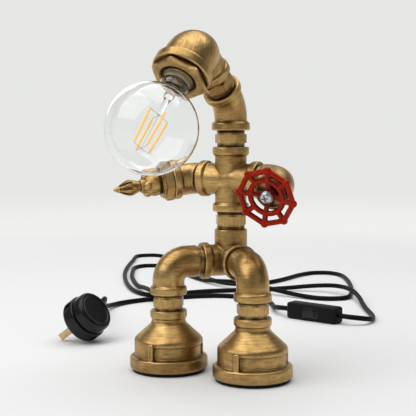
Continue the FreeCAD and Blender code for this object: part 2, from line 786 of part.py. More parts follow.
def hand_bush():
    """Hex bush in the arm's mouth with a stepped collar."""
    way = left_way()
    face = LEFT_FACE
    body = fuse(rod(hand(face - THREAD_LEN), way, THREAD_LEN + 2, THREAD_R),
                hexagon(hand(face), way, HAND_HEX, HAND_FLATS, 30.0),
                rod(hand(face + HAND_HEX), way, COLLAR_LENGTH, COLLAR_R))
    return body.cut(rod(hand(face - THREAD_LEN - 1), way, THREAD_LEN + HAND_HEX, HAND_BORE_R))


def hand_knuckle():
    """Ball with a four-lobed nut in front of it, one turned piece."""
    way = left_way()
    seat = LEFT_FACE + HAND_HEX + COLLAR_LENGTH
    ball = Part.makeSphere(BALL_R, hand(seat + BALL_AHEAD))
    keep = rod(hand(seat), way, FINIAL_START - seat, BALL_R + 1)
    neck_start = LOBE_REACH - LOBE_START
    parts = [ball.common(keep),
             rod(hand(neck_start), way, FINIAL_START - neck_start, LOBE_R - 1.2)]
    frame = FreeCAD.Rotation(UP, way)
    for k in range(LOBES):
        a = 2 * math.pi * (k + 0.5) / LOBES
        out = frame.multVec(V(math.cos(a), math.sin(a), 0))
        parts.append(Part.makeSphere(LOBE_BALL_R, along(hand(LOBE_REACH), out, LOBE_R - 2.6)))
    return fuse(*parts)


def hand_finial():
    """Fluted teardrop finial."""
    way = left_way()
    start = hand(FINIAL_START)
    length = FINIAL_TIP - FINIAL_START
    outline = [V(0, 0, 0), V(5.6, 0, 0), V(5.6, 0, 2.2), V(7.4, 0, 6.2), V(FINIAL_R, 0, 11.5),
               V(6.8, 0, 17.0), V(3.6, 0, 23.0), V(1.5, 0, length - 1.4), V(0, 0, length)]
    curve = Part.BSplineCurve()
    curve.interpolate(outline[2:])
    edges = [Part.LineSegment(outline[0], outline[1]).toShape(),
             Part.LineSegment(outline[1], outline[2]).toShape(), curve.toShape(),
             Part.LineSegment(outline[-1], outline[0]).toShape()]
    drop = Part.Face(Part.Wire(edges)).revolve(V(0, 0, 0), UP, 360)
    grooves = []
    for k in range(FLUTES):
        a = math.radians(360 * k / FLUTES)
        out = V(math.cos(a), math.sin(a), 0)
        low, high = out * (FINIAL_R + 0.9) + V(0, 0, 5.5), out * 4.2 + V(0, 0, 22.5)
        way_in = high - low
        grooves.append(Part.makeCylinder(FLUTE_R, way_in.Length, low, way_in))
    drop = drop.cut(grooves)
    drop.Placement = FreeCAD.Placement(start, FreeCAD.Rotation(UP, way))
    return drop


# ---- wheel arm ----------------------------------------------------------
def right_way():
    """Direction that the wheel faces."""
    return direction(0.0, -RIGHT_DROP)


def right_elbow_centre():
    return along(chest(), RIGHT, RIGHT_SHOULDER)


def right_arm_elbow():
    corner = right_elbow_centre()
    start = along(chest(), RIGHT, CROSS_FACE - STREET_THREAD)
    face = along(corner, right_way(), ELBOW_FACE)
    return street_elbow(start, RIGHT, corner, face, right_way(), ELBOW_BEND)


def arm(distance):
    """Point on the wheel's axis, from the elbow centre."""
    return along(right_elbow_centre(), right_way(), distance)


def wheel_plug():
    """Flanged plug in the elbow's mouth that carries the spindle."""
    way = right_way()
    body = fuse(rod(arm(ELBOW_FACE - THREAD_LEN), way, THREAD_LEN + 1, THREAD_R),
                rod(arm(ELBOW_FACE), way, PLUG_FLANGE, PLUG_FLANGE_R))
    return body.cut(rod(arm(ELBOW_FACE - THREAD_LEN - 1), way, THREAD_LEN + 6,
                        SPINDLE_R + SPINDLE_FIT))


def wheel_hub_back():
    """Distance of the hub's rear face from the elbow centre."""
    return WHEEL_REACH - HUB_BACK - HUB_LENGTH / 2


def wheel_spindle():
    """Spindle through the plug, with a collar behind it and a tapped nose."""
    way = right_way()
    back = ELBOW_FACE - THREAD_LEN
    nose = wheel_hub_back() + HUB_LENGTH - 1.0
    body = fuse(rod(arm(back), way, nose - back, SPINDLE_R),
                rod(arm(back - 2.0), way, 2.0, SPINDLE_R + SPINDLE_COLLAR))
    return body.cut(rod(arm(nose - TAP_DEPTH), way, TAP_DEPTH + 1, SCREW_R + THREAD_FIT))


def lobed_ring(radius, dip, count, section, centre, way):
    """Closed round bar of tangent arcs, out at each lobe and in between them."""
    points = []
    for k in range(2 * count):
        a = math.pi * k / count + math.radians(WHEEL_TURN)
        r = radius if k % 2 == 0 else radius * math.cos(math.pi / count) - dip
        points.append(V(r * math.cos(a), r * math.sin(a), 0))
    start = (points[0] + points[-1]) / 2
    run = (points[1] - points[0]).Length
    radii = []
    for k in range(2 * count):
        before = points[k] - points[k - 1]
        after = points[(k + 1) % (2 * count)] - points[k]
        radii.append(RIM_ROUNDING * run / math.tan(before.getAngle(after) / 2))
    path = rounded_path([start] + points + [start], radii)
    solid = tube(path, section)
    solid.Placement = FreeCAD.Placement(centre, FreeCAD.Rotation(UP, way))
    return solid


def spoke_way(k, count):
    """Direction of one of count evenly spaced bars of the wheel."""
    a = 2 * math.pi * k / count + math.radians(WHEEL_TURN)
    return FreeCAD.Rotation(UP, right_way()).multVec(V(math.cos(a), math.sin(a), 0))


def bar(low, high, radius):
    """A round bar between two points."""
    return Part.makeCylinder(radius, (high - low).Length, low, high - low)


def handwheel():
    """Cast wheel: scalloped rim, inner ring, short bars between, spokes to a hub."""
    way = right_way()
    centre = arm(WHEEL_REACH)
    rim_r = WHEEL_R - WHEEL_RIM_R
    ring_centre, hub_middle = along(centre, way, -WHEEL_INNER_BACK), along(centre, way, -HUB_BACK)
    parts = [lobed_ring(rim_r, WHEEL_WAIST, WHEEL_LOBES, WHEEL_RIM_R, centre, way),
             Part.makeTorus(WHEEL_INNER_R, WHEEL_RIM_R, ring_centre, way)]
    for k in range(WHEEL_LOBES):
        out = spoke_way(k, WHEEL_LOBES)
        parts.append(bar(along(ring_centre, out, WHEEL_INNER_R),
                         along(centre, out, rim_r - WHEEL_RIM_R), WHEEL_BAR_R))
    for k in range(SPOKES):
        out = spoke_way(k, SPOKES)
        parts.append(bar(along(hub_middle, out, HUB_R - SPOKE_ROOT),
                         along(ring_centre, out, WHEEL_INNER_R), SPOKE_R))
    parts.append(rod(arm(wheel_hub_back()), way, HUB_LENGTH, HUB_R))
    wheel = fuse(*parts)
    return wheel.cut(rod(arm(wheel_hub_back() - 1), way, HUB_LENGTH + 2, SPINDLE_R + SPINDLE_FIT))


def wheel_washer():
    way = right_way()
    start = wheel_hub_back() + HUB_LENGTH
    return rod(arm(start), way, WASHER_THICK, WASHER_R).cut(
        rod(arm(start - 1), way, 4, SCREW_R + 0.2))


def wheel_screw():
    """Pan head cross recess screw that holds the wheel."""
    way = right_way()
    seat = wheel_hub_back() + HUB_LENGTH + WASHER_THICK
    shank = rod(arm(seat - TAP_DEPTH), way, TAP_DEPTH + 1, SCREW_R)
    head = rod(arm(seat), way, SCREW_HEAD, SCREW_HEAD_R)
    top = [e for e in head.Edges if len(e.Vertexes) == 1
           and (e.Vertexes[0].Point - arm(seat)).dot(way) > 0.5]
    head = head.makeFillet(SCREW_ROUNDING, top)
    frame = FreeCAD.Rotation(UP, way)
    slots = []
    for k in range(2):
        slot = Part.makeBox(CROSS_LENGTH, CROSS_WIDTH, CROSS_DEPTH + 1,
                            V(-CROSS_LENGTH / 2, -CROSS_WIDTH / 2, 0))
        slot.Placement = FreeCAD.Placement(
            arm(seat + SCREW_HEAD - CROSS_DEPTH),
            frame.multiply(FreeCAD.Rotation(UP, 45 + 90 * k)))
        slots.append(slot)
    return fuse(shank, head).cut(slots)


# ---- mains lead ---------------------------------------------------------
def gland_tip():
    return along(foot_centre(-1) + V(0, 0, GLAND_HEIGHT), gland_way(),
                 FOOT_BAND_R + GLAND_FLANGE + GLAND_TAPER)


def cord_gland():
    """Tapered bush where the lead leaves the back of the left foot."""
    centre = foot_centre(-1) + V(0, 0, GLAND_HEIGHT)
    bush = turned(centre, gland_way(), [
        (0, FOOT_SOCKET_R - 1), (GLAND_SHANK_R, FOOT_SOCKET_R - 1), (GLAND_SHANK_R, FOOT_BAND_R),
        (GLAND_FLANGE_R, FOOT_BAND_R), (GLAND_FLANGE_R, FOOT_BAND_R + GLAND_FLANGE),
        (GLAND_FLANGE_R - 1.2, FOOT_BAND_R + GLAND_FLANGE + 1),
        (GLAND_TIP_R, FOOT_BAND_R + GLAND_FLANGE + GLAND_TAPER),
        (0, FOOT_BAND_R + GLAND_FLANGE + GLAND_TAPER)])
    return bush.cut(rod(centre, gland_way(), FOOT_BAND_R + GLAND_TAPER + 9, CORD_R + FLEX_FIT))


def body_flex():
    """Flex inside the pipes, from the gland's tip to the swivel under the head."""
    low = foot_centre(-1) + V(0, 0, GLAND_HEIGHT)
    knee = along(hip(), leg_way(-1), LEG_REACH)
    return tube(rounded_path([gland_tip(), low, knee, hip(), along(neck(), UP, NECK_GAP)],
                             [FOOT_BEND, ELBOW_BEND, HIP_BEND]), CORD_R)


def head_flex():
    """Flex inside the head, from the swivel to the lampholder."""
    end = along(lamp_origin(), face_way(), block_front() - BLOCK_THICK)
    return tube(rounded_path([along(neck(), UP, NECK_GAP), neck_bend_centre(), head_centre(), end],
                             [BEND45_RADIUS, HOLDER_BEND]), CORD_R)


def switch_frame():
    return FreeCAD.Placement(V(SWITCH_X, SWITCH_Y, 0), FreeCAD.Rotation(UP, SWITCH_TURN))


def switch_end(side):
    """Middle of the switch's end face; side is 1 for its +x end."""
    return switch_frame().multVec(V(side * SWITCH_LENGTH / 2, 0, SWITCH_HEIGHT / 2))


def lead_to_lamp():
    """Route from the gland's tip over the table to the switch, chosen point by point."""
    points = [(-86.4, 27.7, 11), (-98, 49.6, 9.2), (-116, 87, 4), (-149, 143, FLOOR),
              (-180.9, 186.1, FLOOR), (-207.9, 225.1, 4.4), (-234.6, 259.5, 8.6),
              (-261.2, 290.5, HUMP), (-288.6, 318.1, HUMP), (-314.1, 345.2, 8.4),
              (-337.6, 372.3, 4.4), (-359.6, 399.4, FLOOR), (-380.1, 426.8, FLOOR),
              (-399, 453.5, FLOOR), (-415.4, 480.2, FLOOR), (-430.2, 507.4, FLOOR),
              (-446.4, 533.8, FLOOR), (-451.6, 566.5, FLOOR), (-424.1, 584.9, FLOOR),
              (-392, 565.7, FLOOR), (-362.8, 539.4, FLOOR), (-332.8, 515.2, FLOOR),
              (-304.6, 490.4, FLOOR), (-274, 468.9, 4), (-241.9, 449.8, 8), (-207.8, 434, HUMP),
              (-171.6, 422.8, HUMP), (-134.2, 414.2, 8), (-96, 407.1, 4), (-57.8, 398.9, FLOOR),
              (-24.8, 418.4, FLOOR), (-32.8, 456.2, FLOOR), (-45.8, 493.2, FLOOR),
              (-60.3, 528.9, FLOOR), (-76.4, 563.5, FLOOR), (-93.3, 595.9, FLOOR),
              (-111.5, 623.7, FLOOR), (-136.2, 636.9, FLOOR), (-161.1, 624.1, FLOOR),
              (-170.6, 591.3, FLOOR), (-172.8, 551.6, FLOOR), (-177.3, 511, FLOOR),
              (-191.7, 476.3, FLOOR), (-222.5, 461.1, FLOOR), (-254.8, 471.2, FLOOR),
              (-283.9, 492.3, FLOOR), (-310.5, 518.1, FLOOR), (-336.5, 545.2, FLOOR),
              (-362.2, 573.2, FLOOR), (-386.8, 602.2, FLOOR), (-412.1, 630.3, FLOOR),
              (-438.5, 655.8, FLOOR), (-463.7, 682.2, FLOOR), (-497.3, 700.6, FLOOR),
              (-524.9, 675.1, FLOOR), (-509.3, 641, FLOOR), (-496.2, 616.1, FLOOR),
              (-482.7, 584.4, FLOOR), (-466.1, 549.7, FLOOR), (-448, 513.8, FLOOR),
              (-428, 478.1, FLOOR), (-406.2, 443.7, FLOOR), (-383.8, 410.6, FLOOR),
              (-360.8, 379.6, FLOOR), (-337.3, 351.5, FLOOR), (-313, 328.5, FLOOR),
              (-287.6, 315.7, FLOOR), (-263.2, 327.4, FLOOR), (-250.4, 354.2, FLOOR),
              (-231.1, 382.5, FLOOR), (-201.3, 406.3, FLOOR), (-169.5, 430.2, FLOOR),
              (-136.6, 453.4, 4), (-101, 471.3, 8), (-62.1, 471.5, HUMP), (-28.9, 446.6, HUMP),
              (-4.6, 410.5, 8), (14, 372.9, 4.4), (32.1, 340.5, FLOOR), (47.4, 314, FLOOR),
              (55.6, 291.5, 4), (57.8, 275.6, 5.6), (54.6, 264, 7.8), (46.5, 255.8, 9.6),
              (35.3, 252.5, 10.5)]
    return [gland_tip()] + [V(*p) for p in points] + [switch_end(-1)]


def lead_to_plug():
    """Route from the switch to the plug's nub, chosen point by point."""
    points = [(-59, 273.4, 10.5), (-69.3, 279.8, 9.2), (-82, 294.5, 6.4), (-93.9, 319.3, FLOOR),
              (-111.9, 347, FLOOR), (-142.4, 361.9, FLOOR), (-177.5, 364.7, FLOOR),
              (-210.1, 350.9, FLOOR), (-236.6, 323.9, FLOOR), (-265.8, 292.8, FLOOR),
              (-287.3, 252.5, FLOOR), (-286, 206, 5), (-264, 163, 13), (-239, 127, 27),
              (-221, 101, 36.5), (-209, 81.6, 39.8)]
    return [switch_end(1)] + [V(*p) for p in points] + [plug_point(0, NUB_REACH, NUB_HEIGHT)]


def lead(name, points):
    """One stretch of the lead as a tube of runs and tangent arcs."""
    radii = []
    for k in range(1, len(points) - 1):
        before, after = points[k] - points[k - 1], points[k + 1] - points[k]
        half = before.getAngle(after) / 2
        radii.append(ARC_SHARE * min(before.Length, after.Length) / math.tan(half))
    path = rounded_path(points, radii)
    length = sum(edge.Length for edge in path.Edges)
    runs = [(points[k + 1] - points[k]).Length for k in range(len(points) - 1)]
    solid = tube(path, CORD_R)
    print("%s: length %.0f, runs %.0f to %.0f, least radius %.0f" % (
        name, length, min(runs), max(runs), min(radii)))
    print("  radii", " ".join("%.0f" % r for r in radii))
    print("  volume against section times length: %.5f" % (
        solid.Volume / (math.pi * CORD_R ** 2 * length)))
    return solid


# ---- rocker switch ------------------------------------------------------
def case_half(back, front):
    """Half of the switch case between two depths, rounded on its outer edges."""
    box = Part.makeBox(SWITCH_LENGTH, front - back, SWITCH_HEIGHT,
                       V(-SWITCH_LENGTH / 2, back, 0))
    split = SWITCH_DEPTH / 2
    rounded = [e for e in box.Edges
               if not all(abs(v.Y - split) < SAME_POINT for v in e.Vertexes)]
    box = box.makeFillet(SWITCH_EDGE, rounded)
    reach = SWITCH_LENGTH / 2 - CASE_WALL
    low, high = (split - 1, front - CASE_WALL) if back > 0 else (back + CASE_WALL, split + 1)
    hollow = Part.makeBox(2 * reach, high - low, SWITCH_HEIGHT - 2 * CASE_WALL,
                          V(-reach, low, CASE_WALL))
    half = box.cut(hollow)
    for x, z in case_screw_places():
        post_back, post_front = (split, front - CASE_WALL) if back > 0 else (back, split)
        half = half.fuse(rod(V(x, post_back, z), BACK, post_front - post_back, CASE_POST_R))
        half = half.cut(rod(V(x, back - 1, z), BACK, CASE_SCREW_REACH + 1 - back,
                            CASE_SCREW_R + PIVOT_FIT))
    for side in (-1, 1):
        entry = rod(V(side * (reach - 1), split, SWITCH_HEIGHT / 2), RIGHT * side, 6, CORE_R)
        half = half.cut(entry)
    return half.removeSplitter()


def case_screw_places():
    low = CASE_WALL + CASE_POST_R - 0.6
    return [(CASE_SCREW_X, low), (-CASE_SCREW_X, SWITCH_HEIGHT - low)]


def switch_back():
    shape = case_half(0, SWITCH_DEPTH / 2)
    shape.Placement = switch_frame_back()
    return shape


def switch_frame_back():
    """Frame with x along the case, y from its back to its rocker face."""
    frame = switch_frame()
    frame.Base = frame.multVec(V(0, -SWITCH_DEPTH / 2, 0))
    return frame


def switch_front():
    """Front half with the rocker's window and pivot holes."""
    half = case_half(SWITCH_DEPTH / 2, SWITCH_DEPTH)
    window_x = rocker_window()
    window_z = ROCKER_HEIGHT + 2 * ROCKER_GAP
    window = Part.makeBox(window_x, 2 * CASE_WALL + 2, window_z,
                          V(-window_x / 2, SWITCH_DEPTH - CASE_WALL - 1,
                            (SWITCH_HEIGHT - window_z) / 2))
    pivot = rod(V(0, ROCKER_PIVOT, 1.0 - PIVOT_FIT), UP, SWITCH_HEIGHT - 2.0 + 2 * PIVOT_FIT,
                PIVOT_R + PIVOT_FIT)
    shape = half.cut([window, pivot])
    shape.Placement = switch_frame_back()
    return shape


def rocker_window():
    """Window length that leaves the rocker free at both tilts."""
    swing = (SWITCH_DEPTH + ROCKER_RISE - ROCKER_PIVOT) * math.sin(math.radians(ROCKER_TILT))
    return ROCKER_LENGTH + 2 * (swing + ROCKER_GAP)


def switch_rocker():
    """Rocker with its pivot pins, tilted to off."""
    end, face = ROCKER_LENGTH / 2, SWITCH_DEPTH
    low = (SWITCH_HEIGHT - ROCKER_HEIGHT) / 2
    outline = [(-end, face + ROCKER_RISE), (0, face + 0.2), (end, face + ROCKER_RISE), (end, face - 2.6),
               (4.0, ROCKER_PIVOT - 3.0), (-4.0, ROCKER_PIVOT - 3.0), (-end, face - 2.6)]
    points = [V(x, y, low) for x, y in outline]
    points.append(points[0])
    body = Part.Face(Part.makePolygon(points)).extrude(UP * ROCKER_HEIGHT)
    body = fuse(body, rod(V(0, ROCKER_PIVOT, 1.0), UP, SWITCH_HEIGHT - 2.0, PIVOT_R))
    body.rotate(V(0, ROCKER_PIVOT, 0), UP, ROCKER_TILT)
    body.Placement = switch_frame_back().multiply(body.Placement)
    return body


def switch_contacts():
    """Terminal blocks and the fixed contact bar on the case's back wall."""
    blocks = []
    for size, x in ((TERMINAL, -TERMINAL_X), (CONTACT_BAR, 0), (TERMINAL, TERMINAL_X)):
        corner = V(x - size[0] / 2, CASE_WALL, (SWITCH_HEIGHT - size[2]) / 2)
        blocks.append(Part.makeBox(*size, corner))
    for block in blocks:
        block.Placement = switch_frame_back()
    return Part.makeCompound(blocks)


def switch_screws():
    """Two screws that hold the case halves together."""
    screws = []
    for x, z in case_screw_places():
        screw = rod(V(x, 0.3, z), BACK, CASE_SCREW_REACH - 0.5, CASE_SCREW_R)
        screw.Placement = switch_frame_back()
        screws.append(screw)
    return Part.makeCompound(screws)


# ---- plug ---------------------------------------------------------------
def plug_frame():
    """Frame of the plug: y towards the lead, z out of its cover, pins along -z."""
    out = V(PLUG_OUTWARDS).normalize()
    back = (PLUG_BACKWARDS - out * PLUG_BACKWARDS.dot(out)).normalize()
    side = back.cross(out)
    return FreeCAD.Placement(PLUG_AT, FreeCAD.Rotation(side, back, out, "ZYX"))


def plug_point(x, y, z):
    return plug_frame().multVec(V(x, y, z))


def seated_in_plug(shape):
    shape.Placement = plug_frame().multiply(shape.Placement)
    return shape


def plug_base():
    """Base of the plug with its nub, pin slots and screw boss."""
    outer = turned(V(0, 0, 0), UP, [(0, 0), (PLUG_R - 2, 0), (PLUG_R, 2.5),
                                    (PLUG_R, PLUG_BASE), (0, PLUG_BASE)])
    nub = Part.makeCone(NUB_R, CORD_R + NUB_WALL, NUB_REACH - PLUG_R + NUB_ROOT,
                        V(0, PLUG_R - NUB_ROOT, NUB_HEIGHT), BACK)
    hollow = rod(V(0, 0, PLUG_WALL), UP, PLUG_BASE, PLUG_R - PLUG_WALL)
    boss = rod(V(0, 0, PLUG_WALL - 1), UP, PLUG_BASE - PLUG_WALL + 1, BOSS_R)
    body = outer.fuse(nub).cut(hollow).fuse(boss)
    cuts = [rod(V(0, 0, -1), UP, PLUG_BASE + 2, SCREW_HOLE_R),
            rod(V(0, PLUG_R - NUB_ROOT - 1, NUB_HEIGHT), BACK, NUB_REACH, CORE_R)]
    return seated_in_plug(body.cut(cuts + pin_bodies()).removeSplitter())


def plug_cover():
    """Domed cover with its own screw boss."""
    top = PLUG_BASE + PLUG_COVER
    outer = turned(V(0, 0, 0), UP, [
        (0, PLUG_BASE), (PLUG_COVER_R, PLUG_BASE), (PLUG_COVER_R - COVER_SLOPE, top - 4),
        (PLUG_COVER_R - COVER_CROWN, top), (0, top)])
    crest = [e for e in outer.Edges if len(e.Vertexes) == 1 and e.Vertexes[0].Z > PLUG_BASE + 1]
    outer = outer.makeFillet(1.6, crest)
    hollow = turned(V(0, 0, 0), UP, [
        (0, PLUG_BASE - 1), (PLUG_COVER_R - PLUG_WALL, PLUG_BASE - 1),
        (PLUG_COVER_R - PLUG_WALL - COVER_SLOPE, top - 5),
        (PLUG_COVER_R - PLUG_WALL - COVER_CROWN - 1, top - PLUG_WALL), (0, top - PLUG_WALL)])
    boss = rod(V(0, 0, PLUG_BASE), UP, PLUG_COVER - 1, BOSS_R)
    hole = rod(V(0, 0, PLUG_BASE - 1), UP, PLUG_COVER - 4, SCREW_HOLE_R)
    return seated_in_plug(outer.cut(hollow).fuse(boss).cut(hole).removeSplitter())


def pin_body(x, y, size):
    wide, thick, reach = size
    return Part.makeBox(wide, thick, reach + PIN_ROOT, V(x - wide / 2, y - thick / 2, -reach))


def pin_bodies():
    """Neutral, live and earth pins through the base's floor."""
    return [pin_body(-PIN_SPACING / 2, LINE_PINS, LINE_PIN),
            pin_body(PIN_SPACING / 2, LINE_PINS, LINE_PIN),
            pin_body(0, LINE_PINS - PIN_SPACING, EARTH_PIN)]


def line_pin(x):
    """Live or neutral pin, waisted where its sleeve grips it."""
    return seated_in_plug(pin_body(x, LINE_PINS, LINE_PIN).cut(sleeve(x)))


def sleeve(x):
    """Insulating sleeve round the root of a pin."""
    wide, thick, _ = LINE_PIN
    outer = Part.makeBox(wide, thick, SLEEVE, V(x - wide / 2, LINE_PINS - thick / 2, -SLEEVE))
    inner = Part.makeBox(wide - 2 * SLEEVE_SKIN, thick - 2 * SLEEVE_SKIN, SLEEVE + 2,
                         V(x - wide / 2 + SLEEVE_SKIN, LINE_PINS - thick / 2 + SLEEVE_SKIN,
                           -SLEEVE - 1))
    return outer.cut(inner)


def pin_sleeves():
    half = PIN_SPACING / 2
    return Part.makeCompound([seated_in_plug(sleeve(-half)), seated_in_plug(sleeve(half))])


def earth_pin():
    return seated_in_plug(pin_bodies()[2])


def fuse_clips():
    """Clip on the live pin and clip on the base's floor, under the fuse."""
    x = PIN_SPACING / 2
    high = PIN_ROOT + CLIP
    front = Part.makeBox(CLIP_WIDE, CLIP_LONG, CLIP, V(x - CLIP_WIDE / 2, LINE_PINS - 2.5, PIN_ROOT))
    rear = Part.makeBox(CLIP_WIDE, CLIP_LONG, high - PLUG_WALL,
                        V(x - CLIP_WIDE / 2, LINE_PINS - 22, PLUG_WALL))
    return Part.makeCompound([seated_in_plug(front), seated_in_plug(rear)])


def plug_fuse():
    start = V(PIN_SPACING / 2, LINE_PINS + 2.6, PIN_ROOT + CLIP + FUSE_R)
    return seated_in_plug(rod(start, FRONT, FUSE_LENGTH, FUSE_R))


def plug_cord_grip():
    """Bar that clamps the sheath inside the nub."""
    high = NUB_HEIGHT - CORE_R - PLUG_WALL - 0.3
    corner = V(-GRIP_WIDE / 2, PLUG_R - PLUG_WALL - 6.5, PLUG_WALL)
    return seated_in_plug(Part.makeBox(GRIP_WIDE, GRIP_THICK, high, corner))


def plug_screw():
    return seated_in_plug(rod(V(0, 0, 0.6), UP, PLUG_BASE + PLUG_COVER - 7, PLUG_SCREW_R))


NODES = {
    "left_foot_pad": lambda: foot_pad(-1),
    "right_foot_pad": lambda: foot_pad(1),
    "left_foot": left_foot,
    "right_foot": lambda: foot(1),
    "left_leg_nipple": lambda: leg_nipple(-1),
    "right_leg_nipple": lambda: leg_nipple(1),
    "left_leg_elbow": lambda: leg_elbow(-1),
    "right_leg_elbow": lambda: leg_elbow(1),
    "hip_corner": corner_fitting,
    "waist_nipple": lambda: nipple(waist(), UP, WAIST_GAP),
    "chest_cross": cross,
    "neck_nipple": lambda: nipple(neck(), UP, NECK_GAP),
    "neck_bend": neck_bend,
    "head_nipple": lambda: nipple(head_nipple_start(), neck_way(), HEAD_GAP),
    "head_elbow": head_elbow,
    "head_bush": head_bush,
    "lampholder_skirt": lampholder_skirt,
    "lampholder_block": lampholder_block,
    "lampholder_sleeve": lampholder_sleeve,
    "lampholder_contact": lampholder_contact,
    "lamp_cap": lamp_cap,
    "lamp_cap_tip": lamp_cap_tip,
    "lamp_globe": globe,
    "lamp_stem": lamp_stem,
    "lamp_filaments": filaments,
    "lamp_wires": filament_wires,
    "left_arm_elbow": left_arm_elbow,
    "hand_bush": hand_bush,
    "hand_knuckle": hand_knuckle,
    "hand_finial": hand_finial,
    "right_arm_elbow": right_arm_elbow,
    "wheel_plug": wheel_plug,
    "wheel_spindle": wheel_spindle,
    "handwheel": handwheel,
    "wheel_washer": wheel_washer,
    "wheel_screw": wheel_screw,
    "cord_gland": cord_gland,
    "body_flex": body_flex,
    "head_flex": head_flex,
    "lead_to_lamp": lambda: lead("lead to lamp", lead_to_lamp()),
    "lead_to_plug": lambda: lead("lead to plug", lead_to_plug()),
    "switch_back": switch_back,
    "switch_front": switch_front,
    "switch_rocker": switch_rocker,
    "switch_contacts": switch_contacts,
    "switch_screws": switch_screws,
    "plug_base": plug_base,
    "plug_cover": plug_cover,
    "live_pin": lambda: line_pin(PIN_SPACING / 2),
    "neutral_pin": lambda: line_pin(-PIN_SPACING / 2),
    "earth_pin": earth_pin,
    "pin_sleeves": pin_sleeves,
    "plug_fuse": plug_fuse,
    "fuse_clips": fuse_clips,
    "plug_cord_grip": plug_cord_grip,
    "plug_screw": plug_screw,
}


def main():
    os.makedirs("parts", exist_ok=True)
    for name, make in NODES.items():
        shape = make()
        shape.exportStep("parts/%s.step" % name)
        box = shape.BoundBox
        print("%-20s valid %s solids %d volume %9.0f  z %.1f to %.1f" % (
            name, shape.isValid(), len(shape.Solids), shape.Volume, box.ZMin, box.ZMax))


if __name__ == "__main__":
    main()
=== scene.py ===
"""Looks of an industrial pipe table lamp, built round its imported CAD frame.

The lamp is a standing figure of aged brass pipe fittings. Lengths are written
in millimetres and every finished piece is scaled to metres once, when it is
dressed. +Z is up, -Y is the figure's front and +X the side of the handwheel.
"""

import json
import logging
import math
from dataclasses import dataclass, field
from enum import Enum
from functools import partial
from typing import Callable, Sequence

import bpy
from mathutils import Matrix, Vector

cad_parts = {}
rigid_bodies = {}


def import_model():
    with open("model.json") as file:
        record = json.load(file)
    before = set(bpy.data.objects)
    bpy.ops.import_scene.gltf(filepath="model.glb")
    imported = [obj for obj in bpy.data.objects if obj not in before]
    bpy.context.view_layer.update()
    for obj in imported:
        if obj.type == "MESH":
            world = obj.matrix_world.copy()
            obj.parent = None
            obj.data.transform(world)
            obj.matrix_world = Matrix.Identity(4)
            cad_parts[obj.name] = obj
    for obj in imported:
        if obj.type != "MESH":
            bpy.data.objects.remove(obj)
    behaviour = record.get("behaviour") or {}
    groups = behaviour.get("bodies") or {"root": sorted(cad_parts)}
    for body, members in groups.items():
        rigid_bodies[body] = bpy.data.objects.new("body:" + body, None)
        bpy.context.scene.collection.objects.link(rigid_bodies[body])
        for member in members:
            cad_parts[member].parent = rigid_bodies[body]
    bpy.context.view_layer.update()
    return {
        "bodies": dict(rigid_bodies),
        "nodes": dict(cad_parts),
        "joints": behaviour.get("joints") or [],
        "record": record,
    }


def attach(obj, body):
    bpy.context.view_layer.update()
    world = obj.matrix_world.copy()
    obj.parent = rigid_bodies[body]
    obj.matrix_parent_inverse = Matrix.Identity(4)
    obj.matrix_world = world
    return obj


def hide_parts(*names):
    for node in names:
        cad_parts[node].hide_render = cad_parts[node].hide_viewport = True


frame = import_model()
log = logging.getLogger("pipe_lamp")

MM = 0.001
UP = Vector((0, 0, 1))
DOWN = -UP
FRONT = Vector((0, -1, 0))
BACK = -FRONT
RIGHT = Vector((1, 0, 0))
LEFT = -RIGHT
Profile = Sequence[tuple[float, float]]
Triple = tuple[float, float, float]
Piece = bpy.types.Object
Socket = bpy.types.NodeSocket


# ---- places -------------------------------------------------------------
def facing(azimuth: float, elevation: float) -> Vector:
    """Unit vector from degrees round from the front towards -X, and degrees above level."""
    a, e = math.radians(azimuth), math.radians(elevation)
    return Vector((-math.sin(a) * math.cos(e), -math.cos(a) * math.cos(e), math.sin(e)))


@dataclass(frozen=True)
class Axis:
    """A line from a start along a unit direction."""

    start: Vector
    way: Vector

    def at(self, distance: float) -> Vector:
        """Point at a distance along the line."""
        return self.start + self.way * distance

    def moved(self, distance: float) -> "Axis":
        """The same line, started further along."""
        return Axis(self.at(distance), self.way)

    def matrix(self, turn: float = 0.0) -> Matrix:
        """Placement that lays local Z along the line, after a turn in degrees."""
        swing = UP.rotation_difference(self.way).to_matrix().to_4x4()
        return Matrix.Translation(self.start) @ swing @ Matrix.Rotation(math.radians(turn), 4, "Z")


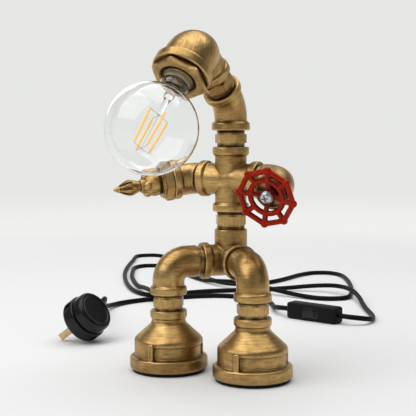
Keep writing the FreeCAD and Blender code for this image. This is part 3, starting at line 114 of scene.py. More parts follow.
@dataclass(frozen=True)
class Skeleton:
    """Driving sizes of the figure, and the axes that its fittings sit on."""

    pad: float = 3.0
    foot_height: float = 59.0
    leg_gap: float = 16.0
    waist_gap: float = 18.2
    neck_gap: float = 17.0
    head_gap: float = 18.4
    leg_reach: float = 66.9
    leg_spread: float = 45.0
    elbow_face: float = 32.5
    elbow_bend: float = 19.0
    corner_face: float = 32.0
    cross_face: float = 33.0
    bend45_face: float = 25.4
    head_tilt: float = 47.5
    head_turn: float = 6.5
    head_small_face: float = 40.4
    head_big_face: float = 39.2
    bush_hex: float = 6.7
    left_shoulder: float = 43.0
    left_bend: float = 45.0
    left_drop: float = 10.5
    right_shoulder: float = 59.5
    right_drop: float = 18.0

    def foot(self, side: int) -> Axis:
        """Upright axis of a leg, from the table; side is -1 for the left leg."""
        a = math.radians(self.leg_spread)
        return Axis(Vector((side * self.leg_reach * math.sin(a), -self.leg_reach * math.cos(a), 0)), UP)

    def leg_way(self, side: int) -> Vector:
        """Level direction from the body to a leg."""
        return self.foot(side).start.normalized()

    @property
    def hip(self) -> Vector:
        """Centre of the corner fitting."""
        return UP * (self.pad + self.foot_height + self.leg_gap + self.elbow_face)

    @property
    def chest(self) -> Vector:
        """Centre of the cross."""
        return self.hip + UP * (self.corner_face + self.waist_gap + self.cross_face)

    @property
    def neck(self) -> Axis:
        """Upright axis from the cross's top face."""
        return Axis(self.chest + UP * self.cross_face, UP)

    @property
    def nape(self) -> Axis:
        """Tilted axis from the neck bend's centre to the head."""
        return Axis(self.neck.at(self.neck_gap + self.bend45_face),
                    facing(self.head_turn, 90 - self.head_tilt))

    @property
    def face(self) -> Axis:
        """Axis of the head's wide mouth, from the head elbow's centre."""
        return Axis(self.nape.at(self.bend45_face + self.head_gap + self.head_small_face),
                    facing(self.head_turn, -self.head_tilt))

    @property
    def lamp(self) -> Axis:
        """Lamp axis, from the outer face of the hex bush."""
        return self.face.moved(self.head_big_face + self.bush_hex)

    @property
    def left_hand(self) -> Axis:
        """Axis of the pointed hand, from its bend's centre.

        Returns:
            The hand's axis.
        """
        b, d = math.radians(self.left_bend), math.radians(self.left_drop)
        way = Vector((-math.cos(b), -math.sin(b) * math.cos(d), -math.sin(b) * math.sin(d)))
        return Axis(self.chest + LEFT * self.left_shoulder, way)

    @property
    def right_hand(self) -> Axis:
        """Axis of the handwheel, from its elbow's centre."""
        return Axis(self.chest + RIGHT * self.right_shoulder, facing(0, -self.right_drop))


# ---- bench work ---------------------------------------------------------
class Bench:
    """Modelling moves, as made by hand in object and edit mode."""

    STEPS = 96
    MERGE = 0.0005

    @staticmethod
    def clear() -> None:
        """Leaves edit mode and deselects everything."""
        if bpy.context.object and bpy.context.object.mode != "OBJECT":
            bpy.ops.object.mode_set(mode="OBJECT")
        bpy.ops.object.select_all(action="DESELECT")

    @staticmethod
    def pick(piece: Piece) -> None:
        """Makes one piece the selected and active one.

        Args:
            piece: The object to select.
        """
        Bench.clear()
        piece.select_set(True)
        bpy.context.view_layer.objects.active = piece

    @staticmethod
    def place(piece: Piece, matrix: Matrix) -> Piece:
        """Moves a piece's mesh, and keeps its object at the origin.

        Args:
            piece: The mesh object.
            matrix: Placement to apply to its mesh.

        Returns:
            The same piece.
        """
        piece.data.transform(matrix)
        piece.data.update()
        return piece

    @staticmethod
    def modify(piece: Piece, kind: str, **settings: object) -> Piece:
        """Adds a modifier and applies it at once.

        Args:
            piece: The mesh object.
            kind: Blender's modifier type.
            **settings: Values set on the modifier.

        Returns:
            The same piece.
        """
        Bench.pick(piece)
        modifier = piece.modifiers.new(kind.title(), kind)
        for key, value in settings.items():
            setattr(modifier, key, value)
        bpy.ops.object.modifier_apply(modifier=modifier.name)
        return piece

    @staticmethod
    def close() -> None:
        """Turns all faces of the edited mesh outwards and leaves edit mode."""
        bpy.ops.mesh.select_all(action="SELECT")
        bpy.ops.mesh.normals_make_consistent(inside=False)
        bpy.ops.object.mode_set(mode="OBJECT")

    @staticmethod
    def turn(profile: Profile, axis: Axis, steps: int = STEPS) -> Piece:
        """Turns a profile about an axis, as on a lathe.

        Args:
            profile: Pairs of radius and distance along the axis, from pole to pole.
            axis: The line that it turns about.
            steps: Number of flats round it.

        Returns:
            The turned solid.
        """
        Bench.clear()
        bpy.ops.mesh.primitive_plane_add(size=1)
        bpy.ops.object.mode_set(mode="EDIT")
        bpy.ops.mesh.select_all(action="SELECT")
        bpy.ops.mesh.merge(type="CENTER")
        here = (0.0, 0.0)
        for number, spot in enumerate(profile):
            move = (spot[0] - here[0], 0, spot[1] - here[1])
            if number == 0:
                bpy.ops.transform.translate(value=move)
            else:
                bpy.ops.mesh.extrude_region_move(TRANSFORM_OT_translate={"value": move})
            here = spot
        bpy.ops.mesh.select_all(action="SELECT")
        bpy.ops.mesh.spin(steps=steps, angle=2 * math.pi, center=(0, 0, 0), axis=(0, 0, 1))
        bpy.ops.mesh.select_all(action="SELECT")
        bpy.ops.mesh.remove_doubles(threshold=Bench.MERGE)
        Bench.close()
        return Bench.place(bpy.context.object, axis.matrix())

    @staticmethod
    def rod(axis: Axis, length: float, radius: float, steps: int = STEPS) -> Piece:
        """A plain round bar along an axis, stock for other work.

        Args:
            axis: Line of the bar, from its first face.
            length: Length along the axis.
            radius: Radius of the bar.
            steps: Number of flats round it.

        Returns:
            The bar.
        """
        Bench.clear()
        bpy.ops.mesh.primitive_cylinder_add(vertices=steps, radius=radius, depth=length,
                                            location=(0, 0, 0))
        return Bench.place(bpy.context.object, axis.moved(length / 2).matrix())

    @staticmethod
    def bar(low: Vector, high: Vector, radius: float, steps: int = 32) -> Piece:
        """Round bar between two points."""
        return Bench.rod(Axis(low, (high - low).normalized()), (high - low).length, radius, steps)

    @staticmethod
    def ball(centre: Vector, radius: float) -> Piece:
        """A plain ball, stock for other work.

        Args:
            centre: Middle of the ball.
            radius: Radius of the ball.

        Returns:
            The ball.
        """
        Bench.clear()
        bpy.ops.mesh.primitive_uv_sphere_add(segments=48, ring_count=24, radius=radius)
        return Bench.place(bpy.context.object, Matrix.Translation(centre))

    @staticmethod
    def block(size: Sequence[float], matrix: Matrix, edge: float = 0.0,
              segments: int = 3) -> Piece:
        """A block with eased edges.

        Args:
            size: Lengths along its own x, y and z.
            matrix: Placement of its centre.
            edge: Width of the rounding of its edges.
            segments: Steps across the rounding.

        Returns:
            The block.
        """
        Bench.clear()
        bpy.ops.mesh.primitive_cube_add(size=1)
        piece = Bench.place(bpy.context.object, Matrix.Diagonal((*size, 1)))
        if edge > 0:
            Bench.modify(piece, "BEVEL", width=edge, segments=segments)
        return Bench.place(piece, matrix)

    @staticmethod
    def bend_of(start: Vector, corner: Vector, end: Vector,
                bend: float) -> tuple[Vector, Vector, float, float, Vector, Vector]:
        """Geometry of a round bend between two straight runs.

        Args:
            start: Start of the first run.
            corner: Where the two runs' axes meet.
            end: End of the second run.
            bend: Radius of the bend's centreline.

        Returns:
            Both directions, the angle between them, the length that the bend takes from
            each run, and the axis and centre that it turns about.
        """
        way, out = (corner - start).normalized(), (end - corner).normalized()
        angle = way.angle(out)
        cut = bend * math.tan(angle / 2)
        hinge = way.cross(out).normalized()
        centre = corner - way * cut + hinge.cross(way) * bend
        return way, out, angle, cut, hinge, centre

    @staticmethod
    def bent_bar(start: Vector, corner: Vector, end: Vector, bend: float, radius: float,
                 steps: int = 20) -> Piece:
        """A round bar with one bend, made by extruding and spinning a disc.

        Args:
            start: Centre of its first face.
            corner: Where its two straight axes meet.
            end: Centre of its last face.
            bend: Radius of the bend's centreline.
            radius: Radius of the bar.
            steps: Sections round the bend.

        Returns:
            The bar as a closed solid.
        """
        way, out, angle, cut, hinge, centre = Bench.bend_of(start, corner, end, bend)
        Bench.clear()
        bpy.ops.mesh.primitive_circle_add(vertices=64, radius=radius, fill_type="NGON")
        piece = Bench.place(bpy.context.object, Axis(start, way).matrix())
        bpy.ops.object.mode_set(mode="EDIT")
        bpy.ops.mesh.select_all(action="SELECT")
        run = (corner - start).length - cut
        bpy.ops.mesh.extrude_region_move(TRANSFORM_OT_translate={"value": way * run})
        bpy.ops.mesh.spin(steps=steps, angle=-angle, center=centre, axis=hinge)
        left = (end - corner).length - cut
        bpy.ops.mesh.extrude_region_move(TRANSFORM_OT_translate={"value": out * left})
        Bench.close()
        return piece

    @staticmethod
    def swelling_bar(start: Vector, corner: Vector, end: Vector, bend: float,
                     radius: Callable[[float], float], count: int = 44) -> list[Piece]:
        """Balls strung along a bend, stock for a casting that widens as it turns.

        Args:
            start: Centre of the first ball.
            corner: Where the two straight axes meet.
            end: Centre of the last ball.
            bend: Radius of the bend's centreline.
            radius: Ball radius for a share from 0 to 1 of the way.
            count: Number of balls.

        Returns:
            The overlapping balls.
        """
        way, out, angle, cut, hinge, centre = Bench.bend_of(start, corner, end, bend)
        lead_in, arc = (corner - start).length - cut, bend * angle
        total = lead_in + arc + (end - corner).length - cut
        balls = []
        for number in range(count + 1):
            share = number / count
            gone = share * total
            if gone <= lead_in:
                spot = start + way * gone
            elif gone <= lead_in + arc:
                turned = Matrix.Rotation((gone - lead_in) / bend, 3, hinge)
                spot = centre + turned @ (corner - way * cut - centre)
            else:
                spot = end - out * (total - gone)
            balls.append(Bench.ball(spot, radius(share)))
        return balls

    @staticmethod
    def join(pieces: Sequence[Piece]) -> Piece:
        """Joins pieces into the first one, as loose shells.

        Args:
            pieces: The pieces; the first one keeps its name.

        Returns:
            The joined piece.
        """
        Bench.clear()
        for piece in pieces:
            piece.select_set(True)
        bpy.context.view_layer.objects.active = pieces[0]
        if len(pieces) > 1:
            bpy.ops.object.join()
        return pieces[0]

    @staticmethod
    def boolean(piece: Piece, tools: Sequence[Piece],
                operation: str = "DIFFERENCE") -> Piece:
        """Cuts, adds or intersects tools one after the other, and removes them.

        Args:
            piece: The mesh object that is worked.
            tools: Closed solids, used up in order.
            operation: Blender's name of the operation.

        Returns:
            The worked piece.
        """
        for tool in tools:
            Bench.modify(piece, "BOOLEAN", object=tool, operation=operation, solver="EXACT")
            bpy.data.objects.remove(tool)
        return piece

    @staticmethod
    def cast(pieces: Sequence[Piece], grain: float,
             soften: int = 2) -> Piece:
        """Runs overlapping stock together into one skin with soft fillets, as cast metal.

        Args:
            pieces: Closed, overlapping pieces.
            grain: Size of the new mesh's faces.
            soften: Rounds of smoothing.

        Returns:
            The one casting.
        """
        whole = Bench.join(pieces)
        Bench.modify(whole, "REMESH", mode="VOXEL", voxel_size=grain)
        return Bench.modify(whole, "SMOOTH", factor=0.5, iterations=soften)

    @staticmethod
    def hexagon(axis: Axis, width: float, flats: float, turn: float = 0.0,
                chamfer: float = 1.2, edge: float = 0.35, steep: float = 0.577) -> Piece:
        """A hexagonal prism with its corners turned down at both ends.

        Args:
            axis: Line of the prism, from its first face.
            width: Length along the axis.
            flats: Size across the flats.
            turn: Turn of the first corner, in degrees.
            chamfer: How far inside the flats the turned faces start.
            edge: Rounding of the edges.
            steep: Slope of the turned faces.

        Returns:
            The prism.
        """
        corner = flats / math.sqrt(3)
        Bench.clear()
        bpy.ops.mesh.primitive_cylinder_add(vertices=6, radius=corner, depth=width)
        prism = Bench.place(bpy.context.object,
                            Matrix.Translation((0, 0, width / 2)) @ Matrix.Rotation(math.radians(30), 4, "Z"))
        slope = (corner - flats / 2 + chamfer) * steep
        low, high = flats / 2 - chamfer, corner + 0.01
        cone = Bench.turn([(0, 0), (low, 0), (high, slope), (high, width - slope),
                           (low, width), (0, width)], Axis(Vector(), UP))
        Bench.boolean(prism, [cone], "INTERSECT")
        Bench.modify(prism, "BEVEL", width=edge, segments=2, limit_method="ANGLE",
                     angle_limit=math.radians(25))
        return Bench.place(prism, axis.matrix(turn))

    @staticmethod
    def eased(profile: Profile, radius: float, segments: int = 4) -> list[tuple[float, float]]:
        """Rounds the inner corners of a profile.

        Args:
            profile: Pairs of radius and distance.
            radius: Rounding, cut down where a side is short.
            segments: Steps round each corner.

        Returns:
            The profile with its corners rounded.
        """
        points = [Vector(p) for p in profile]
        out = [tuple(points[0])]
        for before, here, after in zip(points, points[1:], points[2:]):
            back, on = before - here, after - here
            reach = min(radius, back.length * 0.45, on.length * 0.45)
            start, end = here + back.normalized() * reach, here + on.normalized() * reach
            for step in range(segments + 1):
                t = step / segments
                out.append(tuple(start.lerp(here, t).lerp(here.lerp(end, t), t)))
        out.append(tuple(points[-1]))
        return out

    @staticmethod
    def spline(name: str, points: Sequence[Sequence[float]], radius: float, steps: int,
               sides: int) -> Piece:
        """A smooth round bar with closed ends, as a curve.

        Args:
            name: Name of the object and its curve.
            points: Control points.
            radius: Radius of the bar.
            steps: Steps between two points.
            sides: Resolution of its section.

        Returns:
            The curve's object.
        """
        curve = bpy.data.curves.new(name, "CURVE")
        curve.dimensions = "3D"
        spline = curve.splines.new("NURBS")
        spline.points.add(len(points) - 1)
        for knot, point in zip(spline.points, points):
            knot.co = (*point, 1)
        spline.order_u = 3
        spline.use_endpoint_u = True
        spline.resolution_u = steps
        curve.bevel_depth, curve.bevel_resolution, curve.use_fill_caps = radius, sides, True
        piece = bpy.data.objects.new(name, curve)
        bpy.context.scene.collection.objects.link(piece)
        return piece

    @staticmethod
    def wire(points: Sequence[Vector], radius: float) -> Piece:
        """A smooth round wire through its ends, as a mesh.

        Args:
            points: Control points.
            radius: Radius of the wire.

        Returns:
            The wire.
        """
        Bench.pick(Bench.spline("wire", points, radius, 10, 4))
        bpy.ops.object.convert(target="MESH")
        return bpy.context.object


# ---- finishes -----------------------------------------------------------
class Sketch:
    """A node material under construction."""

    PREFIX = "finish_"

    def __init__(self, name: str) -> None:
        """Starts an empty material with an output and a principled shader.

        Args:
            name: Name of the finish, without the prefix.
        """
        self.material = bpy.data.materials.new(self.PREFIX + name)
        self.material.use_nodes = True
        self.tree = self.material.node_tree
        self.tree.nodes.clear()
        self.output = self.node("ShaderNodeOutputMaterial")
        self.shader = self.node("ShaderNodeBsdfPrincipled")
        self.link(self.shader.outputs[0], self.output.inputs["Surface"])
        self.coords = self.node("ShaderNodeTexCoord").outputs["Object"]

    def node(self, kind: str, **settings: object) -> bpy.types.Node:
        """Adds a node and sets its properties.

        Args:
            kind: Blender's node type.
            **settings: Properties set on the node.

        Returns:
            The node.
        """
        made = self.tree.nodes.new(kind)
        for key, value in settings.items():
            setattr(made, key, value)
        return made

    def link(self, source: Socket, target: Socket) -> None:
        """Joins two sockets."""
        self.tree.links.new(source, target)

    def feed(self, name: str, source: Socket) -> None:
        """Joins a socket to one of the shader's inputs."""
        self.link(source, self.shader.inputs[name])

    def set(self, **values: object) -> None:
        """Sets constants on the shader, with underscores for spaces."""
        for key, value in values.items():
            self.shader.inputs[key.replace("_", " ")].default_value = value

    def stretched(self, scale: Sequence[float], turn: Sequence[float] = (0, 0, 0)) -> Socket:
        """Object coordinates stretched and turned for a directional pattern.

        Args:
            scale: Stretch along x, y and z.
            turn: Turn about x, y and z, in degrees.

        Returns:
            The coordinates.
        """
        mapping = self.node("ShaderNodeMapping", vector_type="TEXTURE")
        mapping.inputs["Scale"].default_value = scale
        mapping.inputs["Rotation"].default_value = [math.radians(a) for a in turn]
        self.link(self.coords, mapping.inputs["Vector"])
        return mapping.outputs["Vector"]

    def noise(self, scale: float, detail: float = 4, roughness: float = 0.55,
              coords: Socket | None = None) -> Socket:
        """Noise value over the piece; scale is in waves per metre.

        Args:
            scale: Waves per metre.
            detail: Number of finer layers.
            roughness: Strength of the finer layers.
            coords: Coordinates, if not the plain ones.

        Returns:
            Value from 0 to 1.
        """
        made = self.node("ShaderNodeTexNoise")
        made.inputs["Scale"].default_value = scale
        made.inputs["Detail"].default_value = detail
        made.inputs["Roughness"].default_value = roughness
        self.link(coords or self.coords, made.inputs["Vector"])
        return made.outputs["Fac"]

    def ramp(self, source: Socket,
             stops: Sequence[tuple[float, Sequence[float]]]) -> Socket:
        """Colour ramp through the given stops.

        Args:
            source: Value from 0 to 1.
            stops: Places and their colours.

        Returns:
            The colour.
        """
        made = self.node("ShaderNodeValToRGB")
        ramp = made.color_ramp
        while len(ramp.elements) < len(stops):
            ramp.elements.new(0.5)
        for element, (place, colour) in zip(ramp.elements, stops):
            element.position = place
            element.color = (*colour, 1) if len(colour) == 3 else colour
        self.link(source, made.inputs["Fac"])
        return made.outputs["Color"]

    def grade(self, source: Socket, low: float, high: float,
              to_low: float = 0.0, to_high: float = 1.0) -> Socket:
        """Maps a value range onto another, clamped.

        Args:
            source: Value to map.
            low: Start of its range.
            high: End of its range.
            to_low: Result at the start.
            to_high: Result at the end.

        Returns:
            The mapped value.
        """
        made = self.node("ShaderNodeMapRange")
        for index, value in enumerate((low, high, to_low, to_high), start=1):
            made.inputs[index].default_value = value
        self.link(source, made.inputs[0])
        return made.outputs[0]

    def blend(self, share: Socket | float, first: object, second: object,
              kind: str = "MIX") -> Socket:
        """Mixes two colours by a share.

        Args:
            share: Share of the second colour.
            first: First colour.
            second: Second colour.
            kind: Blender's name of the blend.

        Returns:
            The mixed colour.
        """
        made = self.node("ShaderNodeMix", data_type="RGBA", blend_type=kind)
        for socket, value in ((made.inputs[0], share), (made.inputs[6], first), (made.inputs[7], second)):
            if isinstance(value, Socket):
                self.link(value, socket)
            elif isinstance(value, (int, float)):
                socket.default_value = value
            else:
                socket.default_value = (*value, 1)
        return made.outputs[2]

    def sums(self, kind: str, first: object, second: object) -> Socket:
        """Arithmetic on two values, clamped to 0 to 1.

        Args:
            kind: Blender's name of the operation.
            first: First value.
            second: Second value.

        Returns:
            The result.
        """
        made = self.node("ShaderNodeMath", operation=kind, use_clamp=True)
        for socket, value in zip(made.inputs, (first, second)):
            if isinstance(value, Socket):
                self.link(value, socket)
            else:
                socket.default_value = value
        return made.outputs[0]

    def bump(self, height: Socket, strength: float, distance: float) -> None:
        """Adds a bump from a height value; bumps stack.

        Args:
            height: Height value.
            strength: Share of the effect.
            distance: Height in metres.
        """
        made = self.node("ShaderNodeBump")
        made.inputs["Strength"].default_value = strength
        made.inputs["Distance"].default_value = distance
        self.link(height, made.inputs["Height"])
        already = self.shader.inputs["Normal"]
        if already.is_linked:
            self.link(already.links[0].from_socket, made.inputs["Normal"])
        self.link(made.outputs["Normal"], already)

    def edges(self, low: float, high: float) -> Socket:
        """Share that is high on outer edges."""
        return self.grade(self.node("ShaderNodeNewGeometry").outputs["Pointiness"], low, high)

    def occlusion_share(self, distance: float) -> Socket:
        """Ambient occlusion share, used to paint shade: high in recesses and against neighbours.

        Args:
            distance: Reach of the test, in metres.

        Returns:
            Value from 0 in the open to 1 in a recess.
        """
        made = self.node("ShaderNodeAmbientOcclusion", samples=8)
        made.inputs["Distance"].default_value = distance
        return self.grade(made.outputs["AO"], 0.55, 0.95, 1.0, 0.0)


@dataclass(frozen=True)
class AgedBrass:
    """Brushed brass, browned by patina and painted shade in the recesses and against neighbouring pieces, and
    bright on its rubbed edges.
    """

    name: str
    bright: Triple = (0.64, 0.42, 0.160)
    middle: Triple = (0.34, 0.195, 0.064)
    brown: Triple = (0.062, 0.034, 0.014)
    edge: Triple = (0.72, 0.50, 0.21)
    brush: Triple = (11, 11, 1)
    tilt: Triple = (0, 0, 0)
    gloss: float = 0.33
    wear: float = 0.8

    def material(self) -> bpy.types.Material:
        """Builds the material.

        Returns:
            The material.
        """
        s = Sketch(self.name)
        along = s.stretched(self.brush, self.tilt)
        cloud = s.noise(30, 5, 0.62)
        mottle = s.noise(170, 4, 0.6)
        streak = s.noise(820, 4, 0.65, along)
        hair = s.noise(2200, 3, 0.7, along)
        base = s.ramp(cloud, [(0.38, self.middle), (0.62, self.bright)])
        base = s.blend(s.grade(mottle, 0.45, 0.8, 0, 0.55), base, self.middle)
        base = s.blend(s.grade(streak, 0.46, 0.68, 0, 0.45), base, self.brown)
        base = s.blend(s.grade(hair, 0.5, 0.68, 0, 0.40), base, self.bright)
        # Painted shade with patina: darker brown in recesses and where pieces meet, by an occlusion test, in
        # patches.
        patchiness = s.grade(mottle, 0.25, 0.65, 0.6, 1.0)
        for reach, depth in ((0.024, 0.45), (0.005, 0.95)):
            shade_and_patina = s.sums("MULTIPLY", s.sums("MULTIPLY", s.occlusion_share(reach), patchiness), depth)
            base = s.blend(shade_and_patina, base, self.brown)
        base = s.blend(s.sums("MULTIPLY", s.edges(0.505, 0.55), self.wear), base, self.edge)
        s.feed("Base Color", base)
        rough = s.grade(streak, 0.25, 0.75, self.gloss - 0.06, self.gloss + 0.16)
        s.feed("Roughness", rough)
        s.set(Metallic=1.0)
        s.bump(streak, 0.14, 0.0003)
        s.bump(hair, 0.10, 0.0002)
        s.bump(mottle, 0.08, 0.0005)
        return s.material


@dataclass(frozen=True)
class PlainMetal:
    """Machined or plated metal with fine turning marks, and painted shade in its recesses."""

    name: str
    colour: Triple
    rough: float = 0.3
    marks: float = 0.12
    metal: float = 1.0

    def material(self) -> bpy.types.Material:
        """Builds the material.

        Returns:
            The material.
        """
        s = Sketch(self.name)
        grain = s.noise(1400, 3, 0.6)
        cloud = s.noise(160, 3, 0.5)
        darker = [c * 0.72 for c in self.colour]
        base = s.ramp(cloud, [(0.3, darker), (0.65, self.colour)])
        # Painted shade: much darker in recesses and against neighbours, such as a screw's cross recess.
        base = s.blend(s.occlusion_share(0.003), base, [c * 0.3 for c in self.colour])
        s.feed("Base Color", base)
        s.feed("Roughness", s.grade(grain, 0.3, 0.7, self.rough - 0.05, self.rough + 0.1))
        s.set(Metallic=self.metal)
        s.bump(grain, self.marks, 0.0002)
        return s.material


@dataclass(frozen=True)
class CastPaint:
    """Thick satin paint over a cast surface, with painted shade in its recesses and a painted highlight on
    its outer edges.
    """

    name: str
    colour: Triple = (0.40, 0.013, 0.0)
    painted_shade: Triple = (0.09, 0.003, 0.002)
    edge_highlight: Triple = (0.50, 0.020, 0.004)

    def material(self) -> bpy.types.Material:
        """Builds the material.

        Returns:
            The material.
        """
        s = Sketch(self.name)
        cloud = s.noise(90, 4, 0.6)
        grain = s.noise(700, 3, 0.6)
        base = s.ramp(cloud, [(0.3, [c * 0.8 for c in self.colour]), (0.7, self.colour)])
        # Painted shade: dark red in recesses and where bars meet.
        base = s.blend(s.sums("MULTIPLY", s.occlusion_share(0.014), 0.9), base, self.painted_shade)
        # Painted highlight: brighter red on outer edges.
        base = s.blend(s.sums("MULTIPLY", s.edges(0.52, 0.6), 0.45), base, self.edge_highlight)
        s.feed("Base Color", base)
        s.feed("Roughness", s.grade(grain, 0.3, 0.7, 0.20, 0.30))
        s.set(Specular_IOR_Level=0.12, Coat_Weight=0.02, Coat_Roughness=0.1)
        s.bump(cloud, 0.3, 0.0008)
        s.bump(grain, 0.12, 0.0003)
        return s.material


@dataclass(frozen=True)
class Moulded:
    """Moulded plastic or rubber, with a fine texture, slight dust and a painted sheen on its outer edges."""

    name: str
    colour: Triple = (0.006, 0.006, 0.0065)
    rough: float = 0.5
    texture: float = 0.1
    scale: float = 1800
    dust: float = 0.25
    shine: float = 0.25

    def material(self) -> bpy.types.Material:
        """Builds the material.

        Returns:
            The material.
        """
        s = Sketch(self.name)
        grain = s.noise(self.scale, 2, 0.5)
        cloud = s.noise(70, 4, 0.6)
        dust_and_sheen = [c * 1.6 + 0.006 for c in self.colour]
        base = s.blend(s.grade(cloud, 0.45, 0.8, 0, self.dust), self.colour, dust_and_sheen)
        # Painted sheen: paler on outer edges.
        base = s.blend(s.sums("MULTIPLY", s.edges(0.52, 0.62), 0.3), base, dust_and_sheen)
        s.feed("Base Color", base)
        s.feed("Roughness", s.grade(grain, 0.3, 0.7, self.rough - 0.06, self.rough + 0.08))
        s.set(Specular_IOR_Level=self.shine)
        s.bump(grain, self.texture, 0.0002)
        return s.material


@dataclass(frozen=True)
class ClearGlass:
    """Thin blown glass with faint waves."""

    name: str
    tint: Triple = (0.97, 0.985, 0.98)
    index: float = 1.45

    def material(self) -> bpy.types.Material:
        """Builds the material.

        Returns:
            The material.
        """
        s = Sketch(self.name)
        wave = s.noise(30, 2, 0.4)
        s.feed("Base Color", s.ramp(wave, [(0.2, self.tint), (0.8, (1, 1, 1))]))
        s.set(Roughness=0.0, IOR=self.index, Transmission_Weight=1.0)
        s.bump(wave, 0.05, 0.001)
        return s.material


@dataclass(frozen=True)
class Phosphor:
    """Amber coating of a filament rod, faintly bright."""

    name: str
    colour: Triple = (0.92, 0.50, 0.11)

    def material(self) -> bpy.types.Material:
        """Builds the material.

        Returns:
            The material.
        """
        s = Sketch(self.name)
        beads = s.noise(1600, 2, 0.5)
        base = s.ramp(beads, [(0.3, [c * 0.75 for c in self.colour]), (0.7, self.colour)])
        s.feed("Base Color", base)
        s.feed("Emission Color", base)
        s.set(Roughness=0.45, Emission_Strength=0.4)
        s.bump(beads, 0.4, 0.0003)
        return s.material


class Finish(Enum):
    """Every finish on the lamp, by the slot that it paints."""

    BRASS = AgedBrass("aged_brass")
    BRASS_ACROSS = AgedBrass("aged_brass_across", brush=(1, 11, 11))
    BRASS_TILTED = AgedBrass("aged_brass_tilted", tilt=(47.5, 0, 0))
    BRASS_HEX = AgedBrass("aged_brass_hex", brush=(1, 1, 9), gloss=0.29, wear=0.12)
    BRASS_BUSH = AgedBrass("aged_brass_bush", tilt=(47.5, 0, 0), gloss=0.31, wear=0.12)
    PAD = Moulded("rubber_pad", rough=0.8, texture=0.3, scale=900)
    RED = CastPaint("red_paint")
    ZINC = PlainMetal("zinc", (0.62, 0.63, 0.65), 0.28)
    CAP = PlainMetal("cap_brass", (0.80, 0.74, 0.60), 0.26, metal=0.6)
    SLEEVE = PlainMetal("sleeve_brass", (0.78, 0.52, 0.16), 0.25)
    GLASS = ClearGlass("clear_glass", index=1.34)
    STEM = ClearGlass("stem_glass", index=1.2)
    FILAMENT = Phosphor("filament_amber")
    WIRE = PlainMetal("lamp_wire", (0.45, 0.42, 0.38), 0.35)
    HOLDER = Moulded("holder_black", rough=0.6)
    PINS = PlainMetal("pin_brass", (0.75, 0.56, 0.28), 0.3, 0.2)
    CORD = Moulded("cord_sheath", (0.004, 0.004, 0.0045), 0.45, 0.06, 600, 0.08, 0.10)
    SWITCH = Moulded("switch_plastic", (0.004, 0.004, 0.0045), 0.5, 0.2, dust=0.12, shine=0.16)
    ROCKER = Moulded("rocker_plastic", (0.006, 0.006, 0.0065), 0.25, 0.05, dust=0.1, shine=0.4)
    PLUG = Moulded("plug_plastic", (0.005, 0.005, 0.0055), 0.26, 0.05, dust=0.2, shine=0.3)
    FUSE = Moulded("fuse_tube", (0.75, 0.72, 0.66), 0.35, 0.02, dust=0.1)

    def material(self) -> bpy.types.Material:
        """The finish's material, built on first use."""
        return bpy.data.materials.get(Sketch.PREFIX + self.value.name) or self.value.material()


class Slot(Enum):
    """Material slots of the record."""

    BRASS = "aged_brass"
    RUBBER = "rubber_black"
    RED = "paint_red"
    ZINC = "zinc_steel"
    CAP = "cap_brass"
    GLASS = "clear_glass"
    FILAMENT = "filament_amber"
    WIRE = "wire_nickel"
    HOLDER = "holder_black"
    PINS = "pin_brass"
    CORD = "cord_black"
    SWITCH = "switch_black"
    PLUG = "plug_black"
    FUSE = "fuse_ceramic"


def dress(piece: Piece, node: str, body: str, finish: Finish, slot: Slot,
          smooth: float = 35.0) -> Piece:
    """Scales a piece to metres, finishes it and lets it stand for its CAD node.

    Args:
        piece: The modelled mesh, in millimetres.
        node: CAD node that it stands for.
        body: CAD body that it rides on.
        finish: Its finish.
        slot: Its slot in the record; not used.
        smooth: Greatest angle that is shaded smooth, in degrees.

    Returns:
        The dressed piece.
    """
    Bench.place(piece, Matrix.Scale(MM, 4))
    Bench.pick(piece)
    bpy.ops.object.shade_smooth_by_angle(angle=math.radians(smooth))
    piece.name = node + "_look"
    piece.data.name = piece.name
    piece.data.materials.clear()
    piece.data.materials.append(finish.material())
    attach(piece, body)
    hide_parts(node)
    log.info("%s: %d faces", piece.name, len(piece.data.polygons))
    return piece


@dataclass
class Assembly:
    """A group of pieces that are modelled and dressed in order."""

    made: list[Piece] = field(default_factory=list, init=False)

    def dress_all(self, body: str, rows: Sequence[tuple]) -> None:
        """Makes and dresses rows of maker, node, finish, slot and, if unusual, smooth angle."""
        for make, node, *rest in rows:
            self.made.append(dress(make(), node, body, *rest))


